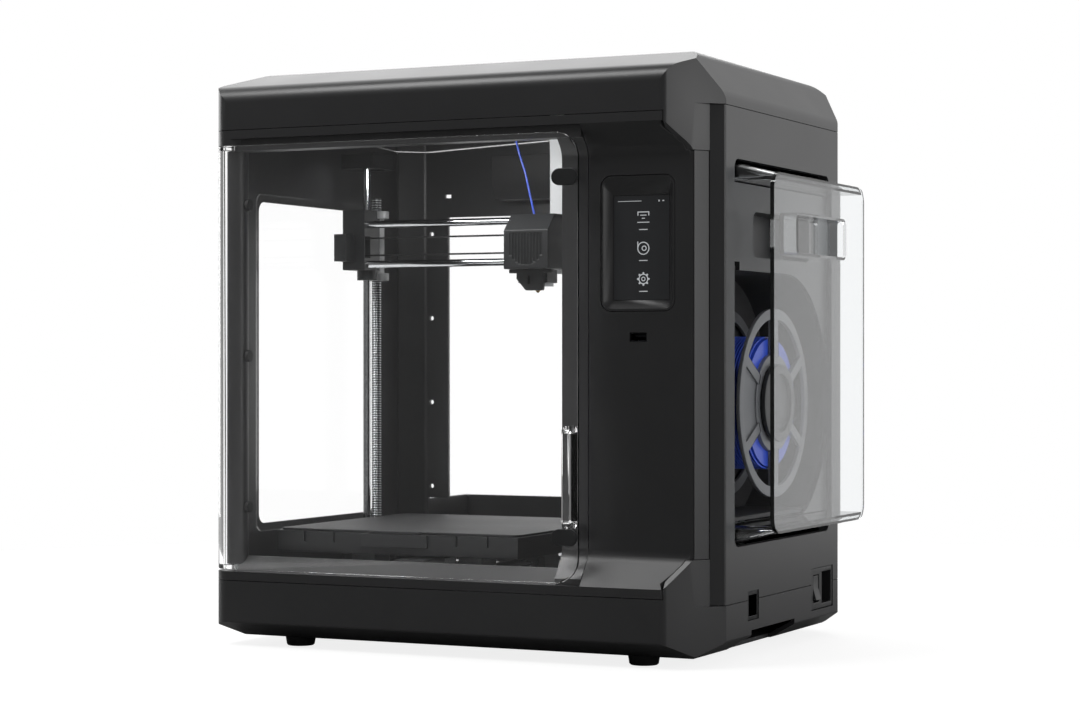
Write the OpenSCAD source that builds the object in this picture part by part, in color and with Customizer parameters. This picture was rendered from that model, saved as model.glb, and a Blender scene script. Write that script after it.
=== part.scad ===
// Enclosed desktop filament printer: moulded shell, clear door, side spool bay,
// bed that slides front to back and a lifting gantry that carries the print head.
// Front faces -Y, the spool bay faces +X, and the feet stand on z = 0.

/* [Body] */
// Width of the enclosure across its flat sides
body_w = 404; // [400:1:420]
// Depth from the front face to the rear panel
body_d = 306; // [304:1:320]
// Height of the top face above the table
body_h = 432; // [430:1:450]
// Height of the rubber feet
foot_h = 7; // [5:1:9]
// Diameter of the rubber feet
foot_d = 23; // [16:1:26]
// Thickness of the moulded walls
wall = 3; // [2.5:0.5:3.5]
// Gap that shows as a seam between two mouldings
seam = 0.5; // [0.3:0.1:0.8]
// Height of the seam between the base and the side panels
side_seam_low = 43.5; // [42:0.5:45]
// Height of the top cover above its seam with the side panels
cover_side_h = 38.5; // [36:0.5:42]
// Height of the seam between the base and the front frame
front_seam_low = 49; // [47:0.5:50]
// Height of the top cover above its seam with the front frame
cover_front_h = 44; // [43:0.5:46]

/* [Front] */
// Depth that the control panel sits behind the front face
panel_recess = 16; // [14:1:18]
// Width of the front to the right of the door
panel_w = 98; // [96:1:104]
// Height of the strip of frame that shows above and below the door
strip_h = 7; // [6:0.5:8]
// Depth of the bars and posts of the front frame
frame_d = 20; // [18:1:24]
// Width of the screen bezel
bezel_w = 57; // [54:1:60]
// Height of the screen bezel
bezel_h = 96; // [90:1:100]
// Depth of the screen glass behind the control panel
bezel_d = 7; // [5:0.5:8]

/* [Door] */
// Radius of the rounded corner that the door wraps around
corner_r = 15; // [13:0.5:17]
// Thickness of the clear door, cover and windows
clear_t = 3; // [2.5:0.5:3.5]
// Diameter of the hinge pins
pin_d = 4; // [3:0.5:5]
// Gap round the door
door_gap = 1.5; // [1:0.25:2]
// Radius of the door's free corners
door_corner_r = 18; // [12:1:22]

/* [Spool] */
// Outer diameter of the spool's flanges
spool_d = 140; // [130:1:150]
// Width of the spool over its flanges
spool_w = 39; // [36:1:42]
// Diameter of the wound filament
winding_d = 99; // [92:1:104]
// Diameter of the spool's hub
hub_d = 72; // [68:1:76]
// Diameter of the holder that the spool turns on
holder_d = 54; // [48:1:58]
// Diameter of the filament
filament_d = 1.75; // [1.5:0.05:1.9]
// Distance that the clear spool cover is pulled out
cover_out = 29; // [20:1:32]

/* [Motion] */
// Width of the print bed
bed_w = 205; // [196:1:206]
// Depth of the print bed
bed_d = 200; // [190:1:202]
// Height of the build plate's top face
bed_top = 87.5; // [86:0.5:90]
// Diameter of the rods that the head and the gantry ride on
rod_d = 6; // [5:0.5:6.5]
// Diameter of the rods that the bed rides on
y_rod_d = 8; // [6:0.5:9]
// Diameter of the lead screw
screw_d = 8; // [7:0.5:9]
// Running clearance of a shaft in its bearing, on the radius
fit = 0.08; // [0.05:0.01:0.1]
// Clearance between parts that move past each other
clear = 0.6; // [0.4:0.1:0.8]
// Depth of the upper gantry rod below the top face with the head as it stands
gantry_drop = 106.5; // [104:0.5:110]
// Place of the print head across the bed
head_x = -7; // [-20:1:0]

/* [Hidden] */
$fn = 64;

// Colours of the finished parts
charcoal = "#2b2b2c";
dark = "#1d1d1e";
clear_tint = [0.85, 0.9, 0.92, 0.3];
steel = "#c9cbcd";
blue = "#3f55c4";
grey = "#a9abac";
brass = "#c9a24a";

// Sides of the enclosure
x_r = body_w / 2;
x_l = -body_w / 2;
y_f = -body_d / 2;
y_b = body_d / 2;
side_seam_high = body_h - cover_side_h;
front_seam_high = body_h - cover_front_h;
gantry_z = body_h - gantry_drop;
far = 2 * (body_w + body_d + body_h);
eps = 0.01;

// Right front corner: a slanted face, a steeper face and the bevel of the side panel
slant_w = 17;
steep_w = 7;
steep_d = 11;
bevel_w = 10;
bevel_d = 5;
corner_w = slant_w + steep_w + bevel_w;
corner_d = panel_recess + steep_d + bevel_d;
frame_edge_y = y_f + panel_recess + steep_d;

// Slopes round the bottom and the top, as run and rise
bottom_run = 19;
foot_in = 61;
bottom_rise = 11;
front_run = 36;
front_rise = 14;
right_run = 21;
right_rise = 32;
left_run = 30;
left_rise = 10;
rear_cut_r = 33;
rear_cut_l = 20;

// Recess of the control panel between the two front seams
sill_z = front_seam_low + strip_h;
head_z = front_seam_high - strip_h;
ledge_rise = 21;
soffit_drop = 19;
panel_y = y_f + panel_recess;
panel_x = x_r - panel_w;
droop = 27;
sill_back_rise = 11;
header_drop = 9;

// Door opening, posts and hinge
post_w = 20;
open_r = panel_x - post_w;
pillar_w = 5.5;
open_l = x_l + corner_r + pillar_w + 0.5;
pivot = [x_l + corner_r, y_f + corner_r];
pillar_y = [pivot[1] - 3, pivot[1] + corner_r + 1];
door_low = sill_z + door_gap;
door_high = head_z - strip_h + 2;
door_back = y_f + clear_t;
knuckle_h = 3;
knuckle_r = pin_d / 2 + 3;
column_gap = 3.5;
column_r = corner_r - clear_t - column_gap;
catch_w = 20;
catch_h = 12;
handle_w = 6.5;
handle_low = 96.5;
handle_high = 169;
handle_out = 14;

// Right chamber wall and the rear hood that the bed slides into
chamber_x = panel_x - 12;
hood_d = 74;
rear_slot_low = side_seam_low + 0.5;
window_low = 96;
window_high = body_h - 95;
rear_post_l = 43;
rear_post_r = 125;
rear_window_x = [x_l + rear_post_l, x_r - rear_post_r];
hood_slope = 40;
vent_d = 4;
vent_pitch = 72;

// Bed, carried on two rods along Y
bed_x = x_l + 136;
bed_front = y_f + 42;
bed_back = bed_front + bed_d;
plate_t = 1.8;
heater_t = 5;
tray_wall = 5;
tray_floor = 4;
tray_h = 16;
tray_top = bed_top - plate_t - 0.4;
tray_low = tray_top - tray_h;
y_rod_z = tray_low - 13;
y_rod_gap = 92;
y_rod_front = y_f + 23;
bearing_l = 24;
bearing_wall = 3.5;
bed_play = 10;
bed_slot_x = [bed_x - bed_w / 2 - bed_play, rear_window_x[1] + 1];
hood_x = bed_slot_x + [-wall, wall];

// Belts and pulleys, GT2 with 20 teeth
pulley_r = 6.366;
belt_t = 1.2;
belt_w = 6;
belt_play = 1.4;
belt_z = tray_low - 14;
y_drive_y = y_f + 42;
y_idler_y = y_b + hood_d - 24;
motor_a = 35;
motor_h = 36;
y_motor_h = 24;
shaft_d = 5;

// Gantry tower, from the sizes of its own parts
tower_x = x_l + 22;
rod_y = y_b - 106;
screw_y = rod_y + 16;
tower_low = 46;
tower_high = body_h - 48;
clamp_t = 12;
right_rod_x = chamber_x - 24;
x_rod_y = rod_y - 11;
x_rod_gap = 32.5;
block_low = gantry_z - 37;
block_high = gantry_z + 12;
screw_top = block_high + 11;
block_x = [tower_x - 13, tower_x + 7.5];
block_y = [x_rod_y - 6, rod_y + 8];
right_block_x = [right_rod_x - 22, right_rod_x + 8];
z_bush_d = 12;
flange_t = 3;
flange_r = 5;
flange_ear = 9;
x_belt_z = gantry_z - x_rod_gap / 2 - 2;
x_belt_y = x_rod_y - 1;
x_drive_x = right_block_x[0] + 9;
x_idler_x = block_x[0] + 6;

// Print head
head_w = 38;
head_front = x_rod_y - 46;
head_low = gantry_z - 40;
head_high = gantry_z + 3;
nozzle_z = gantry_z - 58;
nozzle_y = x_rod_y - 24;
fan_r = 12.5;

// Side recess with the spool bay below and a pocket above, as shares of its height
recess_y = [y_f + 49, y_b - 56];
recess_z = [83, body_h - 75];
recess_h = recess_z[1] - recess_z[0];
slot_h = 16;
slot_r = 7;
bay_share = 0.715;
pocket_share = [0.752, 0.872];
pocket_z = [for (s = pocket_share) recess_z[0] + s * recess_h];
bay_high = recess_z[0] + bay_share * recess_h;
bay_low = recess_z[0] + slot_h + 4;
bay_dip = 12;
bay_r = (bay_high - bay_low + bay_dip) / 2;
bay_z = bay_high - bay_r;
spool_set = 160;
spool_y = y_f + spool_set;
spool_slack = bay_high - bay_low - spool_d;
spool_z = bay_low + spool_d / 2 + 0.28 * spool_slack;
spool_right = x_r - 12;
spool_left = spool_right - spool_w;
flange_w = 3;
bay_floor_x = spool_left - 5;
recess_d = 4;
plate_x = x_r - recess_d;
pocket_y = 57;
pocket_d = 20;
pocket_r = 7;
notch_h = 6;
notch_y = [6, 20];
cup_d = 13;
cover_edge = 1.5;
cover_wall_l = 40;
cover_drop = 10;
cover_corner_r = 12;
runner_t = 1.8;
tip_in = 2;

// Low openings in the right side
jack_y = [y_f + 75, y_f + 97];
jack_z = [29, 50];
inlet_y = [y_b - 96, y_b - 47];
inlet_z = [24, 56];
grip_y = [y_f + 82, y_f + 172];
rocker_y = inlet_y[0] + 12;

// Winding: one tube that runs across the spool in an even helix
winding_gap = 0.5;
tube_r = filament_d / 2;
coil_pitch = filament_d + winding_gap;
coil_room = spool_w - 2 * flange_w - 2 * winding_gap - filament_d;
coil_turns = floor(coil_room / coil_pitch);
coil_r = winding_d / 2 - tube_r;
coil_steps = 24;
coil_sides = 6;

// Strand and ribbon above the head, points chosen by hand
strand_top = [head_x - 23, nozzle_y, body_h - 36];
strand_mid = [head_x - 11, nozzle_y, body_h - 70];
strand_low = [head_x - 3, nozzle_y, head_high + 0.3];
ribbon_w = 12;
ribbon_t = 1;
ribbon_x = head_x - 4;
ribbon_y = x_rod_y + 19;
ribbon_mid = strand_mid[2];
ribbon_low = gantry_z - 42;
ribbon_high = body_h - wall - 0.2;

// Shift that puts the origin under the middle of the whole printer
frame_x = -cover_out / 2;
frame_y = -(hood_d - handle_out) / 2;

// Polygon whose edges lie a distance d inside a counter-clockwise outline
function unit(v) = v / norm(v);
function turn(v) = [-v[1], v[0]];
function inset(pts, d) = [
  for (k = [0 : len(pts) - 1])
    let (
      before = pts[(k + len(pts) - 1) % len(pts)],
      after = pts[(k + 1) % len(pts)],
      n1 = turn(unit(pts[k] - before)),
      n2 = turn(unit(after - pts[k]))
    )
    pts[k] + d * (n1 + n2) / (1 + n1 * n2)
];

// Outline whose corners are turned into arcs, drawn as short straight steps
arc_step = 12;
function corner_arc(a, b, c, r) = let (
    d1 = unit(a - b),
    d2 = unit(c - b),
    half = acos(d1 * d2) / 2,
    o = b + unit(d1 + d2) * r / sin(half),
    p = b + d1 * r / tan(half),
    start = atan2(p[1] - o[1], p[0] - o[0]),
    side = d1[0] * d2[1] - d1[1] * d2[0] > 0 ? -1 : 1,
    n = ceil((180 - 2 * half) / arc_step)
  ) [for (k = [0 : n]) o + r * [cos(start + side * (180 - 2 * half) * k / n), sin(start + side * (180 - 2 * half) * k / n)]];
function rounded(pts, radii) = [
  for (k = [0 : len(pts) - 1])
    each radii[k] <= 0.5 ? [pts[k]] : corner_arc(
      pts[(k + len(pts) - 1) % len(pts)], pts[k], pts[(k + 1) % len(pts)], radii[k]
    )
];
// Radii of an outline drawn in by d
function less(radii, d) = [for (r = radii) r - d];

plan_outline = [
  [x_r - corner_w, y_f], [x_r - steep_w - bevel_w, panel_y],
  [x_r - bevel_w, frame_edge_y], [x_r, y_f + corner_d],
  [x_r, y_b - rear_cut_r], [x_r - rear_cut_r, y_b],
  [x_l + rear_cut_l, y_b], [x_l, y_b - rear_cut_l],
  [x_l, pivot[1]], [pivot[0], y_f]
];
front_outline = [
  [x_l + bottom_run, foot_h], [x_r - bottom_run, foot_h],
  [x_r, foot_h + bottom_rise], [x_r, body_h - right_rise],
  [x_r - right_run, body_h], [x_l + left_run, body_h],
  [x_l, body_h - left_rise], [x_l, foot_h + bottom_rise]
];
side_outline = [
  [y_f + bottom_run, foot_h], [y_b - bottom_run, foot_h],
  [y_b, foot_h + bottom_rise], [y_b, body_h - front_rise],
  [y_b - front_run, body_h], [y_f + front_run, body_h],
  [y_f, body_h - front_rise], [y_f, foot_h + bottom_rise]
];
recess_outline = [
  [y_f - far, sill_z], [y_f, sill_z], [panel_y, sill_z + ledge_rise],
  [panel_y, head_z - soffit_drop], [y_f, head_z], [y_f - far, head_z]
];
edge_r = 8;
soft_r = 14;
crisp_r = 2;
plan_radii = [edge_r, 0, 0, crisp_r, edge_r, edge_r, edge_r, edge_r, 0, 0];
front_radii = [crisp_r, crisp_r, crisp_r, soft_r, soft_r, edge_r, edge_r, crisp_r];
side_radii = [crisp_r, crisp_r, crisp_r, soft_r, soft_r, soft_r, soft_r, crisp_r];
recess_radii = [0, 0, soft_r, soft_r, 0, 0];

// Range from a to b measured from a centre c
function about(c, a, b) = [c + a, c + b];

// Box between two corners given as ranges on each axis
module span(x, y, z) {
  translate([x[0], y[0], z[0]]) cube([x[1] - x[0], y[1] - y[0], z[1] - z[0]]);
}

// Round bar along X, Y or Z
module bar_x(d, x0, x1, y, z) {
  translate([x0, y, z]) rotate([0, 90, 0]) cylinder(d = d, h = x1 - x0);
}

module bar_y(d, x, y0, y1, z) {
  translate([x, y1, z]) rotate([90, 0, 0]) cylinder(d = d, h = y1 - y0);
}

module bar_z(d, x, y, z0, z1) {
  translate([x, y, z0]) cylinder(d = d, h = z1 - z0);
}

// Flat shapes pushed along an axis
module along_y(y0, y1) {
  translate([0, y1, 0]) rotate([90, 0, 0]) linear_extrude(y1 - y0) children();
}

module along_x(x0, x1) {
  translate([x0, 0, 0]) rotate([90, 0, 90]) linear_extrude(x1 - x0) children();
}

// Rectangle with round corners, between two corners given as ranges
module round_rect(a, b, r) {
  translate([a[0] + r, b[0]]) square([a[1] - a[0] - 2 * r, b[1] - b[0]]);
  translate([a[0], b[0] + r]) square([a[1] - a[0], b[1] - b[0] - 2 * r]);
  for (p = [a[0] + r, a[1] - r], q = [b[0] + r, b[1] - r])
    translate([p, q]) circle(r);
}

module plan(i) {
  polygon(rounded(inset(plan_outline, i), less(plan_radii, i)));
  translate(pivot) circle(corner_r - i);
}

// Ring of wall between two heights, following the plan
module wall_ring(z0, z1) {
  translate([0, 0, z0]) linear_extrude(z1 - z0) difference() {
    plan(0);
    plan(wall);
  }
}

// Whole outside of the enclosure, drawn in by i
module envelope(i) {
  intersection() {
    linear_extrude(far) plan(i);
    along_y(-far, far) polygon(rounded(inset(front_outline, i), less(front_radii, i)));
    along_x(-far, far) polygon(rounded(inset(side_outline, i), less(side_radii, i)));
  }
}

module shell() {
  difference() {
    envelope(0);
    envelope(wall);
  }
}

// Wedge that carries the slanted corner straight on to the side, above or below the side panel
module corner_wedge(z0, z1) {
  intersection() {
    translate([0, 0, z0]) linear_extrude(z1 - z0)
      polygon([plan_outline[1], plan_outline[3], plan_outline[2] + [-1, 1]]);
    along_y(-far, far) polygon(rounded(front_outline, front_radii));
    along_x(-far, far) polygon(rounded(side_outline, side_radii));
  }
}

// Space in front of the control panel
module panel_space() {
  along_x(panel_x, far) polygon(rounded(recess_outline, recess_radii));
}

// Base: floor, low walls and the corner that rises beside the control panel
module base_tray() {
  color(charcoal) difference() {
    union() {
      intersection() {
        shell();
        union() {
          span([-far, far], [-far, far], [0, side_seam_low]);
          span([-far, far], [-far, frame_edge_y], [0, front_seam_low]);
          span([-far, 0], [-far, pillar_y[1]], [0, front_seam_low]);
          span([x_r - corner_w, far], [-far, frame_edge_y], [0, front_seam_low + droop]);
        }
      }
      corner_wedge(0, side_seam_low);
      // Posts under the front ends of the bed rods
      for (s = [-1, 1])
        span(about(bed_x + s * y_rod_gap / 2, -8, 8), about(y_f, 21, 30), [foot_h + 1, y_rod_z + y_rod_d / 2 + 3]);
    }
    panel_space();
    for (s = [-1, 1])
      bar_y(y_rod_d, bed_x + s * y_rod_gap / 2, y_rod_front, y_f + 40, y_rod_z);
    span([x_r - 40, far], jack_y, jack_z);
    span([x_r - 40, far], inlet_y, inlet_z);
    span([x_r - bottom_run - 2, far], grip_y, [0, foot_h + bottom_rise + 4]);
  }
}

// Top cover with its sloped edges and the drooping right front corner
module top_cover() {
  color(charcoal) difference() {
    union() {
      intersection() {
        shell();
        union() {
          span([-far, far], [-far, far], [side_seam_high, far]);
          span([-far, far], [-far, frame_edge_y], [front_seam_high, far]);
          span([-far, 0], [-far, pillar_y[1]], [front_seam_high, far]);
          span([x_r - corner_w, far], [-far, frame_edge_y], [front_seam_high - droop, far]);
        }
      }
      corner_wedge(side_seam_high, far);
    }
    panel_space();
  }
}

// Sill, header and posts round the door opening
module front_frame() {
  sill_low = front_seam_low + seam;
  header_high = front_seam_high - seam;
  back_y = y_f + frame_d;
  stop_y = door_back + clear;
  frame_right = x_r - corner_w - seam;
  color(charcoal) difference() {
    union() {
      intersection() {
        translate([0, 0, sill_low]) linear_extrude(header_high - sill_low) plan(0);
        union() {
          span([x_l, frame_right], [y_f, back_y], [sill_low, sill_z]);
          span([x_l, frame_right], [y_f, back_y], [head_z, header_high]);
          along_x(open_l - 1, panel_x) polygon([
            [stop_y, sill_z - 1], [back_y, sill_z - 1],
            [back_y, sill_z + sill_back_rise], [panel_y, sill_z + sill_back_rise], [stop_y, sill_z]
          ]);
          span([open_l - 1, panel_x], [stop_y, back_y], [head_z - header_drop, head_z + 1]);
          // Post in the same plane as the control panel
          difference() {
            span([open_r, panel_x], [stop_y, back_y], [sill_low, header_high]);
            along_x(open_r - 1, far) polygon(rounded(recess_outline, recess_radii));
          }
          span([pivot[0] + door_gap, open_l], pillar_y, [sill_low, header_high]);
          span([x_l, open_l], [y_f, pillar_y[1]], [sill_low, sill_z]);
          span([x_l, open_l], [y_f, pillar_y[1]], [head_z, header_high]);
        }
      }
      bar_z(2 * column_r, pivot[0], pivot[1], door_low + knuckle_h + clear, door_high - knuckle_h - clear);
      // Cap that closes the corner above the door's hinge
      intersection() {
        bar_z(2 * corner_r, pivot[0], pivot[1], door_high + clear, head_z + 1);
        linear_extrude(far) plan(0);
      }
      // Steep face of the right front corner, beside the control panel
      difference() {
        intersection() {
          wall_ring(front_seam_low + droop + seam, front_seam_high - droop - seam);
          span([x_r - corner_w, x_r - bevel_w - seam], [y_f, frame_edge_y], [0, far]);
        }
        panel_space();
        span([0, x_r - steep_w - bevel_w], [-far, far], [0, far]);
      }
    }
    // Room for the knuckles, and the seats of the pins
    for (z = [door_low, door_high - knuckle_h])
      bar_z(2 * (knuckle_r + clear), pivot[0], pivot[1], z - door_gap, z + knuckle_h + door_gap);
    bar_z(pin_d, pivot[0], pivot[1], 0, body_h);
  }
}

// Recessed panel with its ledge and soffit
module control_panel() {
  color(charcoal) difference() {
    intersection() {
      translate([0, 0, sill_z]) linear_extrude(head_z - sill_z) plan(0);
      span([panel_x + seam, x_r - steep_w - bevel_w - seam], [-far, panel_y + 3 * wall], [0, far]);
      along_x(panel_x, far) polygon(rounded(inset(recess_outline, -wall), less(recess_radii, -wall)));
    }
    panel_space();
    bezel_plug([-1, wall + 1], 0);
    span(usb_x(), about(panel_y, -1, wall + 1), usb_z());
    // Clear of the slanted corners of the top cover and the base
    intersection() {
      linear_extrude(far) difference() {
        plan(-seam);
        plan(wall + seam);
      }
      span([x_r - corner_w - seam, far], [-far, frame_edge_y], [0, far]);
      union() {
        span([0, far], [-far, far], [0, front_seam_low + droop + seam]);
        span([0, far], [-far, far], [front_seam_high - droop - seam, far]);
      }
    }
    linear_extrude(far) polygon([
      [x_r - corner_w - seam, y_f - 1], [x_r, y_f - 1], [x_r, panel_y],
      [x_r - steep_w - bevel_w - wall, panel_y], [x_r - corner_w - wall - seam, y_f + wall]
    ]);
  }
}

// Round-cornered block of the screen frame's outline, drawn in by i, between two depths behind the panel
module bezel_plug(depth, i) {
  along_y(panel_y + depth[0], panel_y + depth[1])
    round_rect(bezel_x() + [i, -i], bezel_z() + [i, -i], edge_r - i);
}

function bezel_x() = about(x_r - 60, -bezel_w / 2, bezel_w / 2);
function bezel_z() = about(head_z - 84, -bezel_h / 2, bezel_h / 2);
function usb_x() = about(x_r - 59.5, -6.5, 6.5);
function usb_z() = about(head_z - 150, -3.3, 3.3);
function glass_x() = bezel_x() + [7, -7];
function glass_z() = bezel_z() + [8, -14];

// Frame that slopes in from the control panel to the screen
module screen_bezel() {
  color(dark) difference() {
    bezel_plug([0.5, bezel_d + 2], seam);
    hull() {
      bezel_plug([0, 0.5], 2);
      span(glass_x(), about(panel_y, bezel_d - 0.1, bezel_d), glass_z());
    }
    span(glass_x(), about(panel_y, bezel_d - 1, bezel_d + 3), glass_z());
  }
}

module touch_screen() {
  color("#0c0d10") span(glass_x() + [0.2, -0.2], about(panel_y, bezel_d, bezel_d + 4), glass_z() + [0.2, -0.2]);
}

// Metal shell of the front data port and the jack low on the right side
module data_ports() {
  color(steel) difference() {
    span(usb_x() + [0.2, -0.2], about(panel_y, 0.6, 16), usb_z() + [0.2, -0.2]);
    span(usb_x() + [0.8, -0.8], about(panel_y, 0, 14), usb_z() + [0.8, -0.8]);
  }
  color(steel) span(usb_x() + [1.5, -1.5], about(panel_y, 5, 14.5), about(usb_z()[1], -3.2, -1.4));
  color(dark) difference() {
    span([x_r - 22, x_r - 0.5], jack_y + [0.3, -0.3], jack_z + [0.3, -0.3]);
    span([x_r - 16, far], jack_y + [3, -3], jack_z + [3, -3]);
  }
}

// Right side with the cover's recess, its two slots, the bay opening and the finger pocket
module right_side_panel() {
  rim = [[recess_y[0] - wall, recess_y[1] + wall], [recess_z[0] - wall, recess_z[1] + wall]];
  color(charcoal) difference() {
    union() {
      intersection() {
        wall_ring(side_seam_low + seam, side_seam_high - seam);
        span([x_r - bevel_w, far], [frame_edge_y, y_b - rear_cut_r - seam], [0, far]);
      }
      span([plate_x - wall, x_r - eps], rim[0], rim[1]);
      span([plate_x - pocket_d - 2, plate_x - 1], [-pocket_y - 2, pocket_y + 2], pocket_z + [-2, 2]);
    }
    along_x(plate_x, far) round_rect(recess_y, recess_z, slot_r);
    for (z = [recess_z[0], recess_z[1] - slot_h])
      along_x(plate_x - 2 * wall, far) round_rect(recess_y, [z, z + slot_h], slot_r);
    intersection() {
      bay_shape(plate_x - 2 * wall, far, 0);
      span([0, far], recess_y, [0, far]);
    }
    span([plate_x - 2 * wall, far], about(recess_y[0], notch_y[0], notch_y[1]), about(bay_high, -1, notch_h));
    along_x(plate_x - pocket_d, far) round_rect([-pocket_y, pocket_y], pocket_z, pocket_r);
    span([x_r - 40, far], jack_y, jack_z);
    span([x_r - 40, far], inlet_y, inlet_z);
  }
}

// Round end and straight front of the spool bay, grown by g
module bay_shape(x0, x1, g) {
  bar_x(2 * (bay_r + g), x0, x1, spool_y, bay_z);
  span([x0, x1], [recess_y[0] - g, spool_y], [bay_low - 10 - g, bay_z + bay_r + g]);
}

// Tub that the spool turns in
module spool_bay() {
  color(dark) difference() {
    intersection() {
      bay_shape(bay_floor_x, plate_x - wall - 0.3, wall);
      span([0, far], [-far, y_b - rear_cut_r], [bay_low - wall, far]);
    }
    intersection() {
      bay_shape(bay_floor_x + wall, far, 0);
      span([0, far], [-far, y_b - rear_cut_r - wall], [bay_low, far]);
    }
  }
}

module left_side_panel() {
  color(charcoal) difference() {
    union() {
      intersection() {
        wall_ring(side_seam_low + seam, side_seam_high - seam);
        span([-far, x_l + wall], [pillar_y[1] + seam, y_b - rear_cut_l - seam], [0, far]);
      }
      span([x_l + eps, open_l - 2], about(pillar_y[1], seam, seam + wall), [side_seam_low + seam, side_seam_high - seam]);
    }
    along_x(-far, x_l + wall + 1) round_rect(left_window_y(), left_window_z(), 8);
  }
}

function left_window_y() = [y_f + 63, y_b - 59];
function left_window_z() = [88, window_high + 1];

// Clear pane that overlaps the inside of the left opening
module left_window() {
  color(clear_tint) {
    along_x(x_l + wall + 0.1, x_l + wall + 0.1 + clear_t)
      round_rect(left_window_y() + [-6, 6], left_window_z() + [-6, 6], 8);
  }
}

// Rear panel with its window, and the low housing that the bed slides into
module rear_panel() {
  housing_z = [rear_slot_low, window_low];
  color(charcoal) difference() {
    union() {
      intersection() {
        wall_ring(side_seam_low + seam, side_seam_high - seam);
        span([-far, far], [y_b - rear_cut_r, far], [0, far]);
        union() {
          span([0, far], [-far, far], [0, far]);
          span([-far, 0], [y_b - rear_cut_l, far], [0, far]);
        }
      }
      span(hood_x, [y_b - eps, y_b + hood_d], housing_z);
    }
    span(bed_slot_x, [y_b - wall - 1, y_b + hood_d - wall], [rear_slot_low + wall, window_low + 1]);
    span(bed_slot_x, [y_b - wall - 1, y_b + 1], [rear_slot_low - 1, window_low + 1]);
    span(rear_window_x, [y_b - wall - 1, y_b + 1], [window_low, window_high]);
    for (s = [-1, 1])
      bar_y(y_rod_d, bed_x + s * y_rod_gap / 2, y_b, y_b + hood_d - 1, y_rod_z);
    // Vent holes beside the rear window and a slot for cables above it
    for (z = [window_high - 14 : -vent_pitch : window_low])
      bar_y(vent_d, x_l + 27, y_b - wall - 1, y_b + 1, z);
    span(about(x_l + rear_post_l, -3, 3), [y_b - wall - 1, y_b + 1], about(window_high + 18, -1.5, 1.5));
  }
}

// Outline of the rear hood from the side, with its foot and its front drawn out by g
function hood_outline(g) = [
  [y_b + 0.1 - g, window_low + 0.3 - g], [y_b + hood_d, window_low + 0.3 - g],
  [y_b + hood_d, window_high + 8 - hood_slope], [y_b + hood_d - hood_slope, window_high + 8],
  [y_b + 0.1 - g, window_high + 8]
];

// Clear rear hood over the housing
module rear_window() {
  color(clear_tint) difference() {
    along_x(hood_x[0], hood_x[1]) polygon(hood_outline(0));
    along_x(hood_x[0] + clear_t, hood_x[1] - clear_t) polygon(inset(hood_outline(2 * clear_t), clear_t));
  }
}

// Wall between the print chamber and the spool side
module chamber_wall() {
  color(dark) intersection() {
    envelope(wall + 0.3);
    span([chamber_x, chamber_x + wall], [y_f + frame_d + 0.3, y_b], [foot_h, side_seam_high + 4]);
  }
}

module feet() {
  color(dark)
    for (x = [x_l + foot_in, x_r - foot_in], y = [y_f + 30, y_b - 30])
      translate([x, y, 0]) rotate_extrude()
        polygon([[0, 0], [foot_d / 2 - 2, 0], [foot_d / 2 - 1, 1], [foot_d / 2, foot_h], [0, foot_h]]);
}

// Mains inlet module with a seat for the rocker
module power_inlet() {
  body_x = x_r - 30;
  face_x = x_r - 0.5;
  mid = (inlet_z[0] + inlet_z[1]) / 2;
  color(dark) difference() {
    span([body_x, face_x], inlet_y + [0.4, -0.4], inlet_z + [0.4, -0.4]);
    span([face_x - 18, far], [rocker_y + 13, inlet_y[1] - 3], about(mid, -12, 12));
    span([face_x - 14, far], about(rocker_y, -6.5, 6.5), about(mid, -10.5, 10.5));
  }
  color(steel)
    for (dz = [-7, 0, 7])
      span([face_x - 19, face_x - 5], about(rocker_y + 23, -1, 1) + (dz == 0 ? [3, 3] : [0, 0]), about(mid + dz, -2, 2));
}

// Rocker tilted to one side about a pivot behind its face
module rocker_switch() {
  mid = (inlet_z[0] + inlet_z[1]) / 2;
  color("#151516") translate([x_r - 5, rocker_y, mid]) rotate([0, -8, 0]) along_y(-5.8, 5.8)
    polygon([[-4, -3], [-4, 3], [3.5, 9.4], [5.5, 9.2], [4.2, 0], [5.5, -9.2], [3.5, -9.4]]);
}

module power_supply() {
  color(grey) difference() {
    span([chamber_x + wall + 0.3, chamber_x + wall + 40], [-60, 90], [foot_h + wall + 0.3, 110]);
    for (y = [-45 : 15 : 75])
      span([chamber_x + wall + 36, far], [y, y + 6], [40, 90]);
  }
}

// Controller board on its spacers, with the main parts on it
module mainboard() {
  board_x = chamber_x + wall + 6;
  color("#1d4d2b") span([board_x, board_x + 1.6], [-95, 15], [150, 240]);
  color(steel)
    for (y = [-88, 8], z = [157, 233])
      bar_x(6, chamber_x + wall + 0.2, board_x - 0.1, y, z);
  color(dark) {
    span([board_x + 1.7, board_x + 5], [-60, -40], [185, 205]);
    span([board_x + 1.7, board_x + 12], [-92, -80], [165, 225]);
    for (k = [0 : 3])
      span([board_x + 1.7, board_x + 9], [-28 + k * 10, -21 + k * 10], [155, 170]);
  }
}

// Filter box on the upper rear wall, with a slanted underside
module filter_box() {
  top_z = tower_high + 1;
  low_z = top_z - 36;
  color(charcoal) along_x(x_l + 100, chamber_x - 1) polygon([
    [y_b - wall - 0.2, low_z], [y_b - wall - 0.2, top_z], [y_b - 34, top_z],
    [y_b - 34, low_z + 14], [y_b - 26, low_z]
  ]);
}

// Filament guide under the top cover
module filament_sensor() {
  color(dark) difference() {
    span(about(strand_top[0], -16, 16), about(strand_top[1], -12, 12), [strand_top[2] + 0.3, body_h - wall - 0.2]);
    bar_z(filament_d + 1, strand_top[0], strand_top[1], strand_top[2] - 1, body_h);
  }
}

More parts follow.
